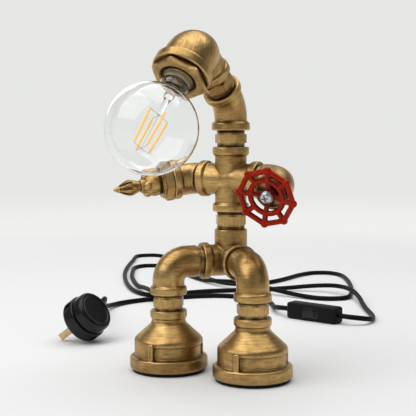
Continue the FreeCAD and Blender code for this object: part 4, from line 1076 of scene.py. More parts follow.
# ---- pipe fittings ------------------------------------------------------
@dataclass(frozen=True)
class PipeForm:
    """The common form of the cast fittings and nipples, in millimetres."""

    thread: float = 13.2
    thread_top: float = 14.5
    body: float = 16.2
    band: float = 18.7
    band_width: float = 7.7
    neck: float = 14.0
    hex_flats: float = 28.6
    hex_width: float = 9.2
    grain: float = 0.62
    pitch: float = 1.5

    def ring(self, face: Axis, radius: float | None = None, width: float | None = None) -> Piece:
        """Rounded band of a port; the axis starts on its face and points out of it.

        Args:
            face: Axis out of the port, from its face.
            radius: Radius, if not the usual band's.
            width: Width, if not the usual band's.

        Returns:
            The band.
        """
        r, w = radius or self.band, width or self.band_width
        profile = Bench.eased([(0, -w - 2.2), (r - 2.4, -w - 1.4), (r, -w + 0.4), (r, 0), (0, 0)], 1.1)
        return Bench.turn(profile, face)

    def recess(self, face: Axis, radius: float | None = None) -> Piece:
        """Cutter for a port's chamfered mouth."""
        r = radius or self.thread + 0.1
        return Bench.turn([(0, -12), (r, -12), (r, -1.4), (r + 1.9, 0.5), (r + 1.9, 4), (0, 4)], face)

    def thread_rings(self, start: float, end: float, radius: float) -> list[tuple[float, float]]:
        """Profile points of fine thread grooves between two distances.

        Args:
            start: Distance of the first groove.
            end: Distance of the last groove.
            radius: Radius of the thread's crests.

        Returns:
            Pairs of radius and distance.
        """
        count = max(1, round((end - start) / self.pitch))
        step = (end - start) / count
        points = []
        for number in range(count):
            low = start + number * step
            points += [(radius - 0.62, low + step * 0.08), (radius, low + step * 0.45),
                       (radius, low + step * 0.6)]
        return points + [(radius - 0.62, end)]

    def nipple(self, start: Axis, gap: float, turn: float = 0.0) -> Piece:
        """Hex nipple between two port faces.

        Args:
            start: Axis from the first face to the second.
            gap: Distance between the faces.
            turn: Turn of the hexagon, in degrees.

        Returns:
            The nipple with its threads in the ports.
        """
        side = (gap - self.hex_width) / 2
        collar = min(1.5, side * 0.45)
        profile = [(0, -8), (self.thread - 0.4, -8)]
        profile += self.thread_rings(-2.5, side - collar, self.thread_top)
        profile += [(self.neck + 0.3, side - collar + 0.15), (self.neck + 0.3, gap - side + collar - 0.15)]
        profile += self.thread_rings(gap - side + collar, gap + 2.5, self.thread_top)
        profile += [(self.thread - 0.4, gap + 8), (0, gap + 8)]
        body = Bench.turn(profile, start)
        nut = Bench.hexagon(start.moved(side), self.hex_width, self.hex_flats, turn, 0.2, 0.4, 0.12)
        return Bench.join([body, nut])

    def street_thread(self, port: Axis, length: float) -> Piece:
        """Male end of a street elbow, from inside the port to the elbow's body.

        Args:
            port: Axis out of the port that it is screwed into.
            length: Length that stays in view.

        Returns:
            The male end.
        """
        profile = [(0, -8), (self.thread - 0.4, -8)]
        profile += self.thread_rings(-2.5, length, self.thread_top)
        profile += [(self.thread - 0.4, length + 3), (0, length + 3)]
        return Bench.turn(profile, port)

    def elbow(self, port: Axis, corner: Vector, mouth: Axis, bend: float, step: float = 4.5,
              band: float | None = None, extra: Sequence[Piece] = ()) -> Piece:
        """Street elbow: male end in a port, a bend and a banded mouth.

        Args:
            port: Axis out of the port that it is screwed into.
            corner: Where its two axes meet.
            mouth: Axis out of its own mouth, from the mouth's face.
            bend: Radius of its bend.
            step: Length of thread that stays in view.
            band: Radius of its mouth's band.
            extra: Other stock cast with it.

        Returns:
            The elbow.
        """
        start = port.at(step)
        bar = self.body_shoulder(Axis(start, port.way))
        cast = Bench.cast([bar, Bench.bent_bar(port.at(step + 1.2), corner, mouth.at(-1), bend, self.body),
                           self.ring(mouth, band), *extra], self.grain)
        Bench.boolean(cast, [self.recess(mouth)])
        return Bench.join([cast, self.street_thread(port, step)])

    def body_shoulder(self, start: Axis) -> Piece:
        """Rounded end of a fitting's body where its male end leaves it."""
        return Bench.turn(Bench.eased([(0, 0), (self.body, 0), (self.body, 6), (0, 6)], 1.4), start)


PIPE = PipeForm()


@dataclass
class Legs(Assembly):
    """Feet, pads, leg nipples and leg elbows."""

    bones: Skeleton
    foot_band: float = 39.6
    foot_body: float = 34.9
    foot_neck: float = 17.2
    pad_radius: float = 37.0
    band_top: float = 12.2
    body_top: float = 30.0
    neck_low: float = 46.5
    panel_depth: float = 1.7
    panel_low: float = 13.2
    panel_top: float = 25.6
    rib: Triple = (5.6, 9.0, 22.5)
    rib_sink: float = 1.2
    rib_middle: float = 18.0
    nipple_turn: float = 8.0
    grain: float = 0.72

    def build(self) -> list[Piece]:
        """Builds and dresses both legs.

        Returns:
            The dressed pieces.
        """
        for side, name in ((-1, "left"), (1, "right")):
            base = self.bones.foot(side)
            top = base.moved(self.bones.pad + self.bones.foot_height)
            self.dress_all("body", (
                (partial(self.pad, base), name + "_foot_pad", Finish.PAD, Slot.RUBBER),
                (partial(self.foot, base.moved(self.bones.pad)), name + "_foot",
                 Finish.BRASS, Slot.BRASS, 60),
                (partial(PIPE.nipple, top, self.bones.leg_gap, self.nipple_turn * side),
                 name + "_leg_nipple", Finish.BRASS_HEX, Slot.BRASS),
                (partial(self.elbow, side), name + "_leg_elbow", Finish.BRASS, Slot.BRASS, 50)))
        return self.made

    def pad(self, base: Axis) -> Piece:
        """Rubber disc with a rounded lower edge."""
        r, t = self.pad_radius, self.bones.pad
        return Bench.turn(Bench.eased([(0, 0), (r, 0), (r, t), (0, t)], 0.8), base, 128)

    def foot(self, base: Axis) -> Piece:
        """Bell reducer with a grip rib at its front and back.

        Args:
            base: Upright axis from the foot's lower face.

        Returns:
            The modelled piece.
        """
        band, body, neck, high = self.foot_band, self.foot_body, self.foot_neck, self.bones.foot_height
        bell = Bench.turn(Bench.eased([
            (0, 0), (band, 0), (band, self.band_top), (body, 12.6), (body, self.body_top),
            (neck, self.neck_low),
            (neck, high - 4), (0, high - 4)], 2.4, 5), base, 128)
        inner, outer, low, top = body - self.panel_depth, body + 4, self.panel_low, self.panel_top
        for side in (1, -1):
            panel = Bench.turn([(inner, low), (outer, low), (outer, top), (inner, top),
                                (inner, low)], base, 128)
            reach = Matrix.Translation(base.start + Vector((side * 27.0, side * -17.0, 19.0)))
            Bench.boolean(panel, [Bench.block((50.0, 60.0, 40.0), reach)], "INTERSECT")
            Bench.boolean(bell, [panel])
        stock = [bell, PIPE.ring(base.moved(high))]
        for way in (FRONT, BACK):
            middle = base.start + way * (body - self.rib_sink) + UP * self.rib_middle
            stock.append(Bench.block(self.rib, Matrix.Translation(middle), 1.3))
        cast = Bench.cast(stock, self.grain)
        return Bench.boolean(cast, [PIPE.recess(base.moved(high))])

    def elbow(self, side: int) -> Piece:
        """Street elbow from the hip down to a leg.

        Args:
            side: -1 for the left leg, 1 for the right.

        Returns:
            The modelled piece.
        """
        way = self.bones.leg_way(side)
        port = Axis(self.bones.hip + way * self.bones.elbow_face, way)
        corner = self.bones.hip + way * self.bones.leg_reach
        mouth = Axis(corner + DOWN * self.bones.elbow_face, DOWN)
        return PIPE.elbow(port, corner, mouth, self.bones.elbow_bend)


@dataclass
class Torso(Assembly):
    """Hip corner, waist nipple, chest cross and neck nipple."""

    bones: Skeleton
    corner_swell: float = 0.6
    cross_swell: float = 0.9
    waist_turn: float = 4
    neck_turn: float = 14

    def build(self) -> list[Piece]:
        """Builds and dresses the upright body.

        Returns:
            The dressed pieces.
        """
        bones = self.bones
        waist = Axis(bones.hip + UP * bones.corner_face, UP)
        self.dress_all("body", (
            (self.corner, "hip_corner", Finish.BRASS, Slot.BRASS, 50),
            (partial(PIPE.nipple, waist, bones.waist_gap, self.waist_turn), "waist_nipple",
             Finish.BRASS_HEX, Slot.BRASS),
            (self.cross, "chest_cross", Finish.BRASS, Slot.BRASS, 50),
            (partial(PIPE.nipple, bones.neck, bones.neck_gap, self.neck_turn), "neck_nipple",
             Finish.BRASS_HEX, Slot.BRASS)))
        return self.made

    def corner(self) -> Piece:
        """Side outlet elbow of the hips, plain at its top port.

        Returns:
            The modelled piece.
        """
        bones = self.bones
        legs = [Axis(bones.hip + bones.leg_way(side) * bones.elbow_face, bones.leg_way(side))
                for side in (-1, 1)]
        top = Axis(bones.hip + UP * bones.corner_face, UP)
        wide, high = PIPE.body + self.corner_swell, bones.corner_face
        stock = [Bench.ball(bones.hip, wide),
                 Bench.turn(Bench.eased([(0, 0), (wide, 0), (wide, high), (0, high)], 1.4),
                            Axis(bones.hip, UP))]
        for leg in legs:
            stock += [Bench.rod(Axis(bones.hip, leg.way), bones.elbow_face - 1, PIPE.body, 64),
                      PIPE.ring(leg)]
        cast = Bench.cast(stock, PIPE.grain)
        return Bench.boolean(cast, [PIPE.recess(port) for port in (top, *legs)])

    def cross(self) -> Piece:
        """Four way cross of the chest, its arms meeting in a ball.

        Returns:
            The modelled piece.
        """
        centre = self.bones.chest
        ports = [Axis(centre + way * self.bones.cross_face, way) for way in (UP, DOWN, LEFT, RIGHT)]
        stock = [Bench.ball(centre, PIPE.body + self.cross_swell)]
        for port in ports:
            length = (port.start - centre).length
            stock.append(Bench.rod(Axis(centre, port.way), length - 1, PIPE.body, 64))
        stock += [PIPE.ring(port) for port in ports]
        cast = Bench.cast(stock, PIPE.grain)
        return Bench.boolean(cast, [PIPE.recess(port) for port in ports])


@dataclass
class Head(Assembly):
    """Neck bend, head nipple, reducing elbow, hex bush and the lampholder."""

    bones: Skeleton
    body_radius: float = 25.6
    band_radius: float = 29.6
    bend: float = 21.0
    bush_flats: float = 49.0
    bush_bore: float = 17.6
    bush_mouth: float = 19.2
    bush_turn: float = 16.0
    shank: float = 20.8
    mouth_bore: float = 21.0
    neck_band: float = 19.6
    neck_radius: float = 34.0
    swell: float = 0.4
    swell_start: float = 0.22
    swell_share: float = 0.52
    nipple_turn: float = 20
    grain: float = 0.7

    def build(self) -> list[Piece]:
        """Builds and dresses the head.

        Returns:
            The dressed pieces.
        """
        bones = self.bones
        nape = bones.nape.moved(bones.bend45_face)
        self.dress_all("head", (
            (self.neck_bend, "neck_bend", Finish.BRASS_TILTED, Slot.BRASS, 50),
            (partial(PIPE.nipple, nape, bones.head_gap, self.nipple_turn), "head_nipple",
             Finish.BRASS_BUSH, Slot.BRASS),
            (self.dome, "head_elbow", Finish.BRASS_TILTED, Slot.BRASS, 50),
            (self.bush, "head_bush", Finish.BRASS_BUSH, Slot.BRASS),
            (self.skirt, "lampholder_skirt", Finish.HOLDER, Slot.HOLDER),
            (self.sleeve, "lampholder_sleeve", Finish.SLEEVE, Slot.CAP)))
        return self.made

    def neck_bend(self) -> Piece:
        """Bend that tips the head forwards.

        Returns:
            The modelled piece.
        """
        bones = self.bones
        corner = bones.nape.start
        low = Axis(corner - UP * bones.bend45_face, DOWN)
        high = bones.nape.moved(bones.bend45_face)
        bar = Bench.bent_bar(low.at(-1), corner, high.at(-1), self.neck_radius,
                             PIPE.body + self.swell)
        rings = [PIPE.ring(port, self.neck_band) for port in (low, high)]
        cast = Bench.cast([bar, *rings], PIPE.grain)
        return Bench.boolean(cast, [PIPE.recess(low), PIPE.recess(high)])

    def dome(self) -> Piece:
        """Reducing elbow whose body swells towards its wide mouth.

        Returns:
            The modelled piece.
        """
        bones = self.bones
        corner = bones.face.start
        small = Axis(corner - bones.nape.way * bones.head_small_face, -bones.nape.way)
        big = bones.face.moved(bones.head_big_face)

        low = PIPE.body + self.swell

        def radius(share: float) -> float:
            """Body radius along the bend."""
            swell = min(1.0, max(0.0, (share - self.swell_start) / self.swell_share))
            return low + (self.body_radius - low) * math.sin(swell * math.pi / 2)

        stock = Bench.swelling_bar(small.at(-18), corner, big.at(-15), self.bend, radius)
        stock.append(Bench.rod(small.moved(-20), 19, low, 64))
        stock.append(Bench.rod(big.moved(-16), 15, self.body_radius, 96))
        stock += [PIPE.ring(small), PIPE.ring(big, self.band_radius, 10.0)]
        cast = Bench.cast(stock, self.grain)
        return Bench.boolean(cast, [PIPE.recess(small), PIPE.recess(big, self.mouth_bore)])

    def bush(self) -> Piece:
        """Hex bush with a chamfered bore.

        Returns:
            The modelled piece.
        """
        big = self.bones.face.moved(self.bones.head_big_face)
        nut = Bench.hexagon(big, self.bones.bush_hex, self.bush_flats, self.bush_turn, 0.3, 0.4)
        shank = Bench.rod(big.moved(-14), 15, self.shank)
        whole = Bench.boolean(nut, [shank], "UNION")
        length = self.bones.bush_hex
        bore = Bench.turn([(0, -20), (self.bush_bore, -20), (self.bush_bore, length - 1.6),
                           (self.bush_mouth, length + 0.05), (self.bush_mouth, length + 3),
                           (0, length + 3)], big)
        return Bench.boolean(whole, [bore])

    def skirt(self) -> Piece:
        """Black cup in the bush's bore.

        Returns:
            The modelled piece.
        """
        low = -34.5
        return Bench.turn([
            (0, low), (17.3, low), (17.3, -1.6), (16.9, -1.0), (15.1, -1.0), (14.8, -1.4),
            (14.8, -3.0), (15.2, -3.4), (15.2, low + 3), (0, low + 3)], self.bones.lamp)

    def sleeve(self) -> Piece:
        """Brass screw sleeve with its rolled thread.

        Returns:
            The modelled piece.
        """
        low, high = -26.5, -8.5
        outer = [(14.6 - 0.5 * (number % 2), low + 1 + number * 1.75) for number in range(10)]
        inner = [(r - 0.7, z) for r, z in reversed(outer)]
        profile = [(6.0, low), (14.3, low)] + outer + [(14.6, high), (13.9, high)] + inner
        profile += [(13.6, low + 1.0), (6.0, low + 1.0), (6.0, low)]
        return Bench.turn(profile, self.bones.lamp)


@dataclass
class GlobeLamp(Assembly):
    """Screw cap, glass globe, stem, filament rods and their wires."""

    bones: Skeleton
    radius: float = 43.9
    reach: float = 61.2
    neck: float = 14.6
    cap_radius: float = 13.2
    cap_gap: float = -5.0
    cap_length: float = 29.0
    stem_length: float = 39.0
    rod_length: float = 40.2
    rod_radius: float = 1.15
    spread: float = 11.1
    taper: float = 0.8
    turn: float = 23.8
    wall: float = 1.1
    threads: int = 5

    def build(self) -> list[Piece]:
        """Builds and dresses the lamp.

        Returns:
            The dressed pieces.
        """
        self.dress_all("lamp", (
            (self.cap, "lamp_cap", Finish.CAP, Slot.CAP),
            (self.cap_tip, "lamp_cap_tip", Finish.HOLDER, Slot.HOLDER),
            (self.globe, "lamp_globe", Finish.GLASS, Slot.GLASS, 80),
            (self.stem, "lamp_stem", Finish.STEM, Slot.GLASS, 60),
            (self.filaments, "lamp_filaments", Finish.FILAMENT, Slot.FILAMENT, 60),
            (self.wires, "lamp_wires", Finish.WIRE, Slot.WIRE, 60)))
        return self.made

    @property
    def mouth(self) -> Axis:
        """Lamp axis from the cap's mouth."""
        return self.bones.lamp.moved(-self.cap_gap)

    def cap(self) -> Piece:
        """Brass cap with a rolled round thread.

        Returns:
            The modelled piece.
        """
        r, low, high = self.cap_radius, -self.cap_length + 2, -8.0
        count = self.threads
        points = []
        for number in range(count * 8 + 1):
            share = number / (count * 8)
            wave = 0.5 * (1 - math.cos(2 * math.pi * count * share))
            points.append((r - 0.75 + 0.75 * wave, low + 1.2 + (high - low - 1.2) * share))
        profile = [(0, low), (r - 2.0, low)] + points + [(r, high + 0.6), (r, 0), (r - 0.5, 0)]
        profile += [(r - 1.4, high), (r - 1.4, low + 1), (0, low + 1)]
        return Bench.turn(profile, self.mouth)

    def cap_tip(self) -> Piece:
        """Insulator and contact at the cap's end."""
        tip = self.mouth.moved(-self.cap_length)
        return Bench.turn(Bench.eased([(0, 0), (3.6, 0), (4.2, 0.8), (9.5, 2.0), (0, 2.0)], 0.3), tip)

    def outline(self) -> list[tuple[float, float]]:
        """Outer glass profile from the seat in the cap to the globe's pole.

        Returns:
            Pairs of radius and distance.
        """
        reach = self.cap_gap + self.reach
        joint = math.asin((self.neck + 5.76) / self.radius)
        end = Vector((self.radius * math.sin(joint), reach - self.radius * math.cos(joint)))
        tangent = Vector((math.cos(joint), math.sin(joint)))
        poles = [Vector((self.neck, 2.5)), Vector((self.neck, 9.5)), end - tangent * 6.3, end]
        points = [(12.6, -5.0), (12.6, 0.5)]
        for number in range(13):
            t = number / 12
            spot = (poles[0] * (1 - t) ** 3 + poles[1] * 3 * t * (1 - t) ** 2
                    + poles[2] * 3 * t * t * (1 - t) + poles[3] * t ** 3)
            points.append(tuple(spot))
        steps = 56
        for number in range(1, steps + 1):
            a = joint + (math.pi - joint) * number / steps
            points.append((self.radius * math.sin(a), reach - self.radius * math.cos(a)))
        points[-1] = (0.0, reach + self.radius)
        return points

    def globe(self) -> Piece:
        """Blown glass globe, open at its neck, with its real wall."""
        skin = Bench.turn(self.outline(), self.mouth, 128)
        return Bench.modify(skin, "SOLIDIFY", thickness=self.wall, offset=-1)

    def stem(self) -> Piece:
        """Glass stem that narrows into the filaments' mast.

        Returns:
            The modelled piece.
        """
        long = self.stem_length
        return Bench.turn(Bench.eased([
            (0, -5), (11.3, -5), (11.3, -3.8), (5.2, 0), (5.2, long - 24), (2.6, long - 16),
            (1.9, long - 4), (2.4, long), (0, long)], 1.2), self.mouth, 64)

    def places(self) -> list[tuple[Vector, Vector]]:
        """Both ends of each filament rod.

        Returns:
            Pairs of lower and upper end.
        """
        way = self.bones.lamp.way
        side = way.cross(UP).normalized()
        other = way.cross(side)
        start = self.mouth.moved(self.stem_length + 0.6)
        found = []
        for number in range(4):
            a = math.radians(90 * number + self.turn)
            out = side * math.cos(a) + other * math.sin(a)
            found.append((start.start + out * self.spread,
                          start.at(self.rod_length) + out * self.spread * self.taper))
        return found

    def filaments(self) -> Piece:
        """Four coated rods with rounded ends.

        Returns:
            The modelled piece.
        """
        r = self.rod_radius
        rods = []
        for low, high in self.places():
            long = (high - low).length
            profile = Bench.eased([(0, 0), (0.4, 0), (0.4, 0.8), (r, 1.4), (r, long - 1.4),
                                   (0.4, long - 0.8), (0.4, long), (0, long)], 0.5)
            rods.append(Bench.turn(profile, Axis(low, (high - low).normalized()), 20))
        return Bench.join(rods)

    def wires(self) -> Piece:
        """Mast with a spider under and over the rods.

        Returns:
            The modelled piece.
        """
        top = self.mouth.moved(self.stem_length)
        mast = self.rod_length + 0.9
        pieces = [Bench.rod(top, mast, 0.2, 10)]
        for ends in self.places():
            for end, level in zip(ends, (0.3, mast)):
                hub = top.at(level)
                pieces.append(Bench.wire([hub, hub.lerp(end, 0.55), end], 0.22))
        return Bench.join(pieces)


@dataclass
class PointedArm(Assembly):
    """Street bend, hex bush, ball with lobed nut, and fluted finial."""

    bones: Skeleton
    face: float = 25.0
    hex_flats: float = 34.0
    hex_width: float = 9.0
    ball_radius: float = 12.4
    lobe_reach: float = 53.0
    finial_start: float = 58.2
    finial_tip: float = 87.0
    lobes: int = 4
    flutes: int = 8
    flute: float = 1.5
    grain: float = 0.45

    def build(self) -> list[Piece]:
        """Builds and dresses the pointed arm.

        Returns:
            The dressed pieces.
        """
        self.dress_all("left_arm", (
            (self.elbow, "left_arm_elbow", Finish.BRASS_ACROSS, Slot.BRASS, 50),
            (self.bush, "hand_bush", Finish.BRASS_HEX, Slot.BRASS),
            (self.knuckle, "hand_knuckle", Finish.BRASS, Slot.BRASS, 50),
            (self.finial, "hand_finial", Finish.BRASS_HEX, Slot.BRASS)))
        return self.made

    def elbow(self) -> Piece:
        """Street bend from the cross, with a casting lug on its neck.

        Returns:
            The modelled piece.
        """
        bones = self.bones
        port = Axis(bones.chest + LEFT * bones.cross_face, LEFT)
        mouth = bones.left_hand.moved(self.face)
        lug_at = Matrix.Translation(port.at(10.5) + FRONT * (PIPE.body - 0.2))
        lug = Bench.block((6.5, 3.4, 3.6), lug_at, 1.2)
        return PIPE.elbow(port, bones.left_hand.start, mouth, 18.0, 2.4, PIPE.band + 0.3, [lug])

    def bush(self) -> Piece:
        """Hex bush with stepped rings in front of it.

        Returns:
            The modelled piece.
        """
        hand = self.bones.left_hand
        end = self.face + self.hex_width
        nut = Bench.hexagon(hand.moved(self.face), self.hex_width, self.hex_flats, 0.0, 0.8, 0.5, 0.3)
        profile = [(0, self.face - 8), (12.9, self.face - 8)]
        profile += PIPE.thread_rings(self.face - 2.5, self.face + 0.4, PIPE.thread + 0.25)
        profile += [(12, end - 0.5), (16.2, end - 0.5), (16.2, end + 1.6), (15.2, end + 2.0),
                    (15.2, end + 3.0), (13.9, end + 3.4), (0, end + 3.4)]
        return Bench.join([Bench.turn(profile, hand), nut])

    def knuckle(self) -> Piece:
        """Ball that runs into a four lobed nut.

        Returns:
            The modelled piece.
        """
        hand = self.bones.left_hand
        seat = self.face + self.hex_width + 3.4
        stock = [Bench.ball(hand.at(seat + 6.0), self.ball_radius),
                 Bench.rod(hand.moved(self.lobe_reach - 5), self.finial_start - self.lobe_reach + 5,
                           7.2, 48)]
        frame = hand.matrix().to_3x3()
        for number in range(self.lobes):
            a = math.radians(90 * number + 45)
            out = frame @ Vector((math.cos(a), math.sin(a), 0))
            stock.append(Bench.ball(hand.at(self.lobe_reach - 1.5) + out * 7.4, 5.0))
        cast = Bench.cast(stock, self.grain)
        keep = Bench.rod(hand.moved(seat), self.finial_start - seat, 30, 48)
        return Bench.boolean(cast, [keep], "INTERSECT")

    def finial(self) -> Piece:
        """Fluted drop that ends in a point.

        Returns:
            The modelled piece.
        """
        start = self.bones.left_hand.moved(self.finial_start)
        long = self.finial_tip - self.finial_start
        outline = [(0, 0), (5.6, 0), (5.6, 2.2), (7.4, 6.2), (8.7, 11.5), (6.8, 17.0), (3.6, 23.0),
                   (1.5, long - 1.4), (0, long)]
        drop = Bench.turn(Bench.eased(outline, 4.0, 6), start, 128)
        flutes = []
        frame = start.matrix()
        for number in range(self.flutes):
            a = math.radians(45 * number)
            out = Vector((math.cos(a), math.sin(a), 0))
            low = frame @ (out * 9.6 + UP * 5.5)
            high = frame @ (out * 4.2 + UP * 22.5)
            flutes.append(Bench.bar(low, high, self.flute, 24))
        return Bench.boolean(drop, flutes)


@dataclass
class WheelArm(Assembly):
    """Street elbow, flanged plug, spindle, red handwheel, washer and screw."""

    bones: Skeleton
    reach: float = 46.0
    lobe_middle: float = 28.4
    lobe_radius: float = 3.8
    rim: float = 2.75
    lobes: int = 8
    turn: float = -11.0
    inner: float = 17.2
    inner_back: float = 1.5
    hub_back: float = 5.5
    hub_radius: float = 7.0
    hub_length: float = 9.0
    spoke: float = 2.5
    spoke_root: float = 5.0
    bore: float = 4.05
    grain: float = 0.42

    def build(self) -> list[Piece]:
        """Builds and dresses the wheel arm.

        Returns:
            The dressed pieces.
        """
        self.dress_all("right_arm", (
            (self.elbow, "right_arm_elbow", Finish.BRASS_ACROSS, Slot.BRASS, 50),
            (self.plug, "wheel_plug", Finish.BRASS_HEX, Slot.BRASS)))
        self.dress_all("wheel", (
            (self.spindle, "wheel_spindle", Finish.ZINC, Slot.ZINC),
            (self.wheel, "handwheel", Finish.RED, Slot.RED, 50),
            (self.washer, "wheel_washer", Finish.ZINC, Slot.ZINC),
            (self.screw, "wheel_screw", Finish.ZINC, Slot.ZINC)))
        return self.made

    @property
    def hub_face(self) -> float:
        """Distance of the hub's front face from the elbow's centre."""
        return self.reach - self.hub_back + self.hub_length / 2

    def elbow(self) -> Piece:
        """Street elbow from the cross to the wheel.

        Returns:
            The modelled piece.
        """
        bones = self.bones
        port = Axis(bones.chest + RIGHT * bones.cross_face, RIGHT)
        mouth = bones.right_hand.moved(bones.elbow_face)
        return PIPE.elbow(port, bones.right_hand.start, mouth, bones.elbow_bend)

    def plug(self) -> Piece:
        """Round plug in the elbow's mouth.

        Returns:
            The modelled piece.
        """
        face = self.bones.elbow_face
        profile = [(4.1, face - 10), (12.9, face - 10), (12.9, face - 0.3), (15.4, face - 0.3),
                   (15.4, face + 2.3), (14.6, face + 3), (4.1, face + 3), (4.1, face - 10)]
        return Bench.turn(profile, self.bones.right_hand)

    def spindle(self) -> Piece:
        """Turned spindle through the plug.

        Returns:
            The modelled piece.
        """
        back = self.bones.elbow_face - 13.5
        nose = self.hub_face - 1.0
        profile = Bench.eased([(0, back - 2), (6.5, back - 2), (6.5, back), (4, back), (4, nose),
                               (0, nose)], 0.4)
        return Bench.turn(profile, self.bones.right_hand, 48)

    def wheel(self) -> Piece:
        """Cast handwheel: straight bars between ball lobes, a set-back ring, bars and spokes.

        Returns:
            The modelled piece.
        """
        hand = self.bones.right_hand
        frame = hand.moved(self.reach).matrix(self.turn)
        ring = frame @ Matrix.Translation((0, 0, -self.inner_back))
        hub = frame @ Matrix.Translation((0, 0, -self.hub_back))
        ways = [Vector((math.cos(a), math.sin(a), 0))
                for a in (2 * math.pi * number / self.lobes for number in range(self.lobes))]
        tips = [frame @ (way * self.lobe_middle) for way in ways]
        Bench.clear()
        bpy.ops.mesh.primitive_torus_add(major_radius=self.inner, minor_radius=self.rim,
                                         major_segments=96, minor_segments=24)
        stock = [Bench.place(bpy.context.object, ring)]
        for number, (tip, way) in enumerate(zip(tips, ways)):
            stock += [Bench.ball(tip, self.lobe_radius), Bench.bar(tips[number - 1], tip, self.rim),
                      Bench.bar(ring @ (way * self.inner), tip, self.rim)]
            if number % 2 == 0:
                stock.append(Bench.bar(hub @ (way * self.spoke_root), ring @ (way * self.inner),
                                       self.spoke))
        hub_low = self.hub_face - self.hub_length
        stock.append(Bench.turn(Bench.eased([
            (0, hub_low), (self.hub_radius, hub_low), (self.hub_radius, self.hub_face),
            (0, self.hub_face)], 1.2), hand))
        cast = Bench.cast(stock, self.grain, 3)
        bore = Bench.rod(hand.moved(hub_low - 1), self.hub_length + 2, self.bore, 48)
        return Bench.boolean(cast, [bore])

    def washer(self) -> Piece:
        """Plain washer under the screw.

        Returns:
            The modelled piece.
        """
        low = self.hub_face
        profile = [(2.7, low), (6.6, low), (6.6, low + 0.8), (6.4, low + 1), (2.7, low + 1), (2.7, low)]
        return Bench.turn(profile, self.bones.right_hand, 64)

    def screw(self) -> Piece:
        """Pan head screw with a cross recess.

        Returns:
            The modelled piece.
        """
        seat = self.hub_face + 1.0
        hand = self.bones.right_hand
        profile = [(0, seat - 10), (2.5, seat - 10), (2.5, seat), (6.3, seat), (6.3, seat + 1.2),
                   (4.3, seat + 3.2), (0, seat + 3.2)]
        screw = Bench.turn(Bench.eased(profile, 1.4, 6), hand, 64)
        cuts = []
        for turn in (8, 98):
            frame = hand.moved(seat + 3.0).matrix(turn)
            cuts.append(Bench.block((6.8, 1.5, 3.4), frame, 0.25))
        return Bench.boolean(screw, cuts)


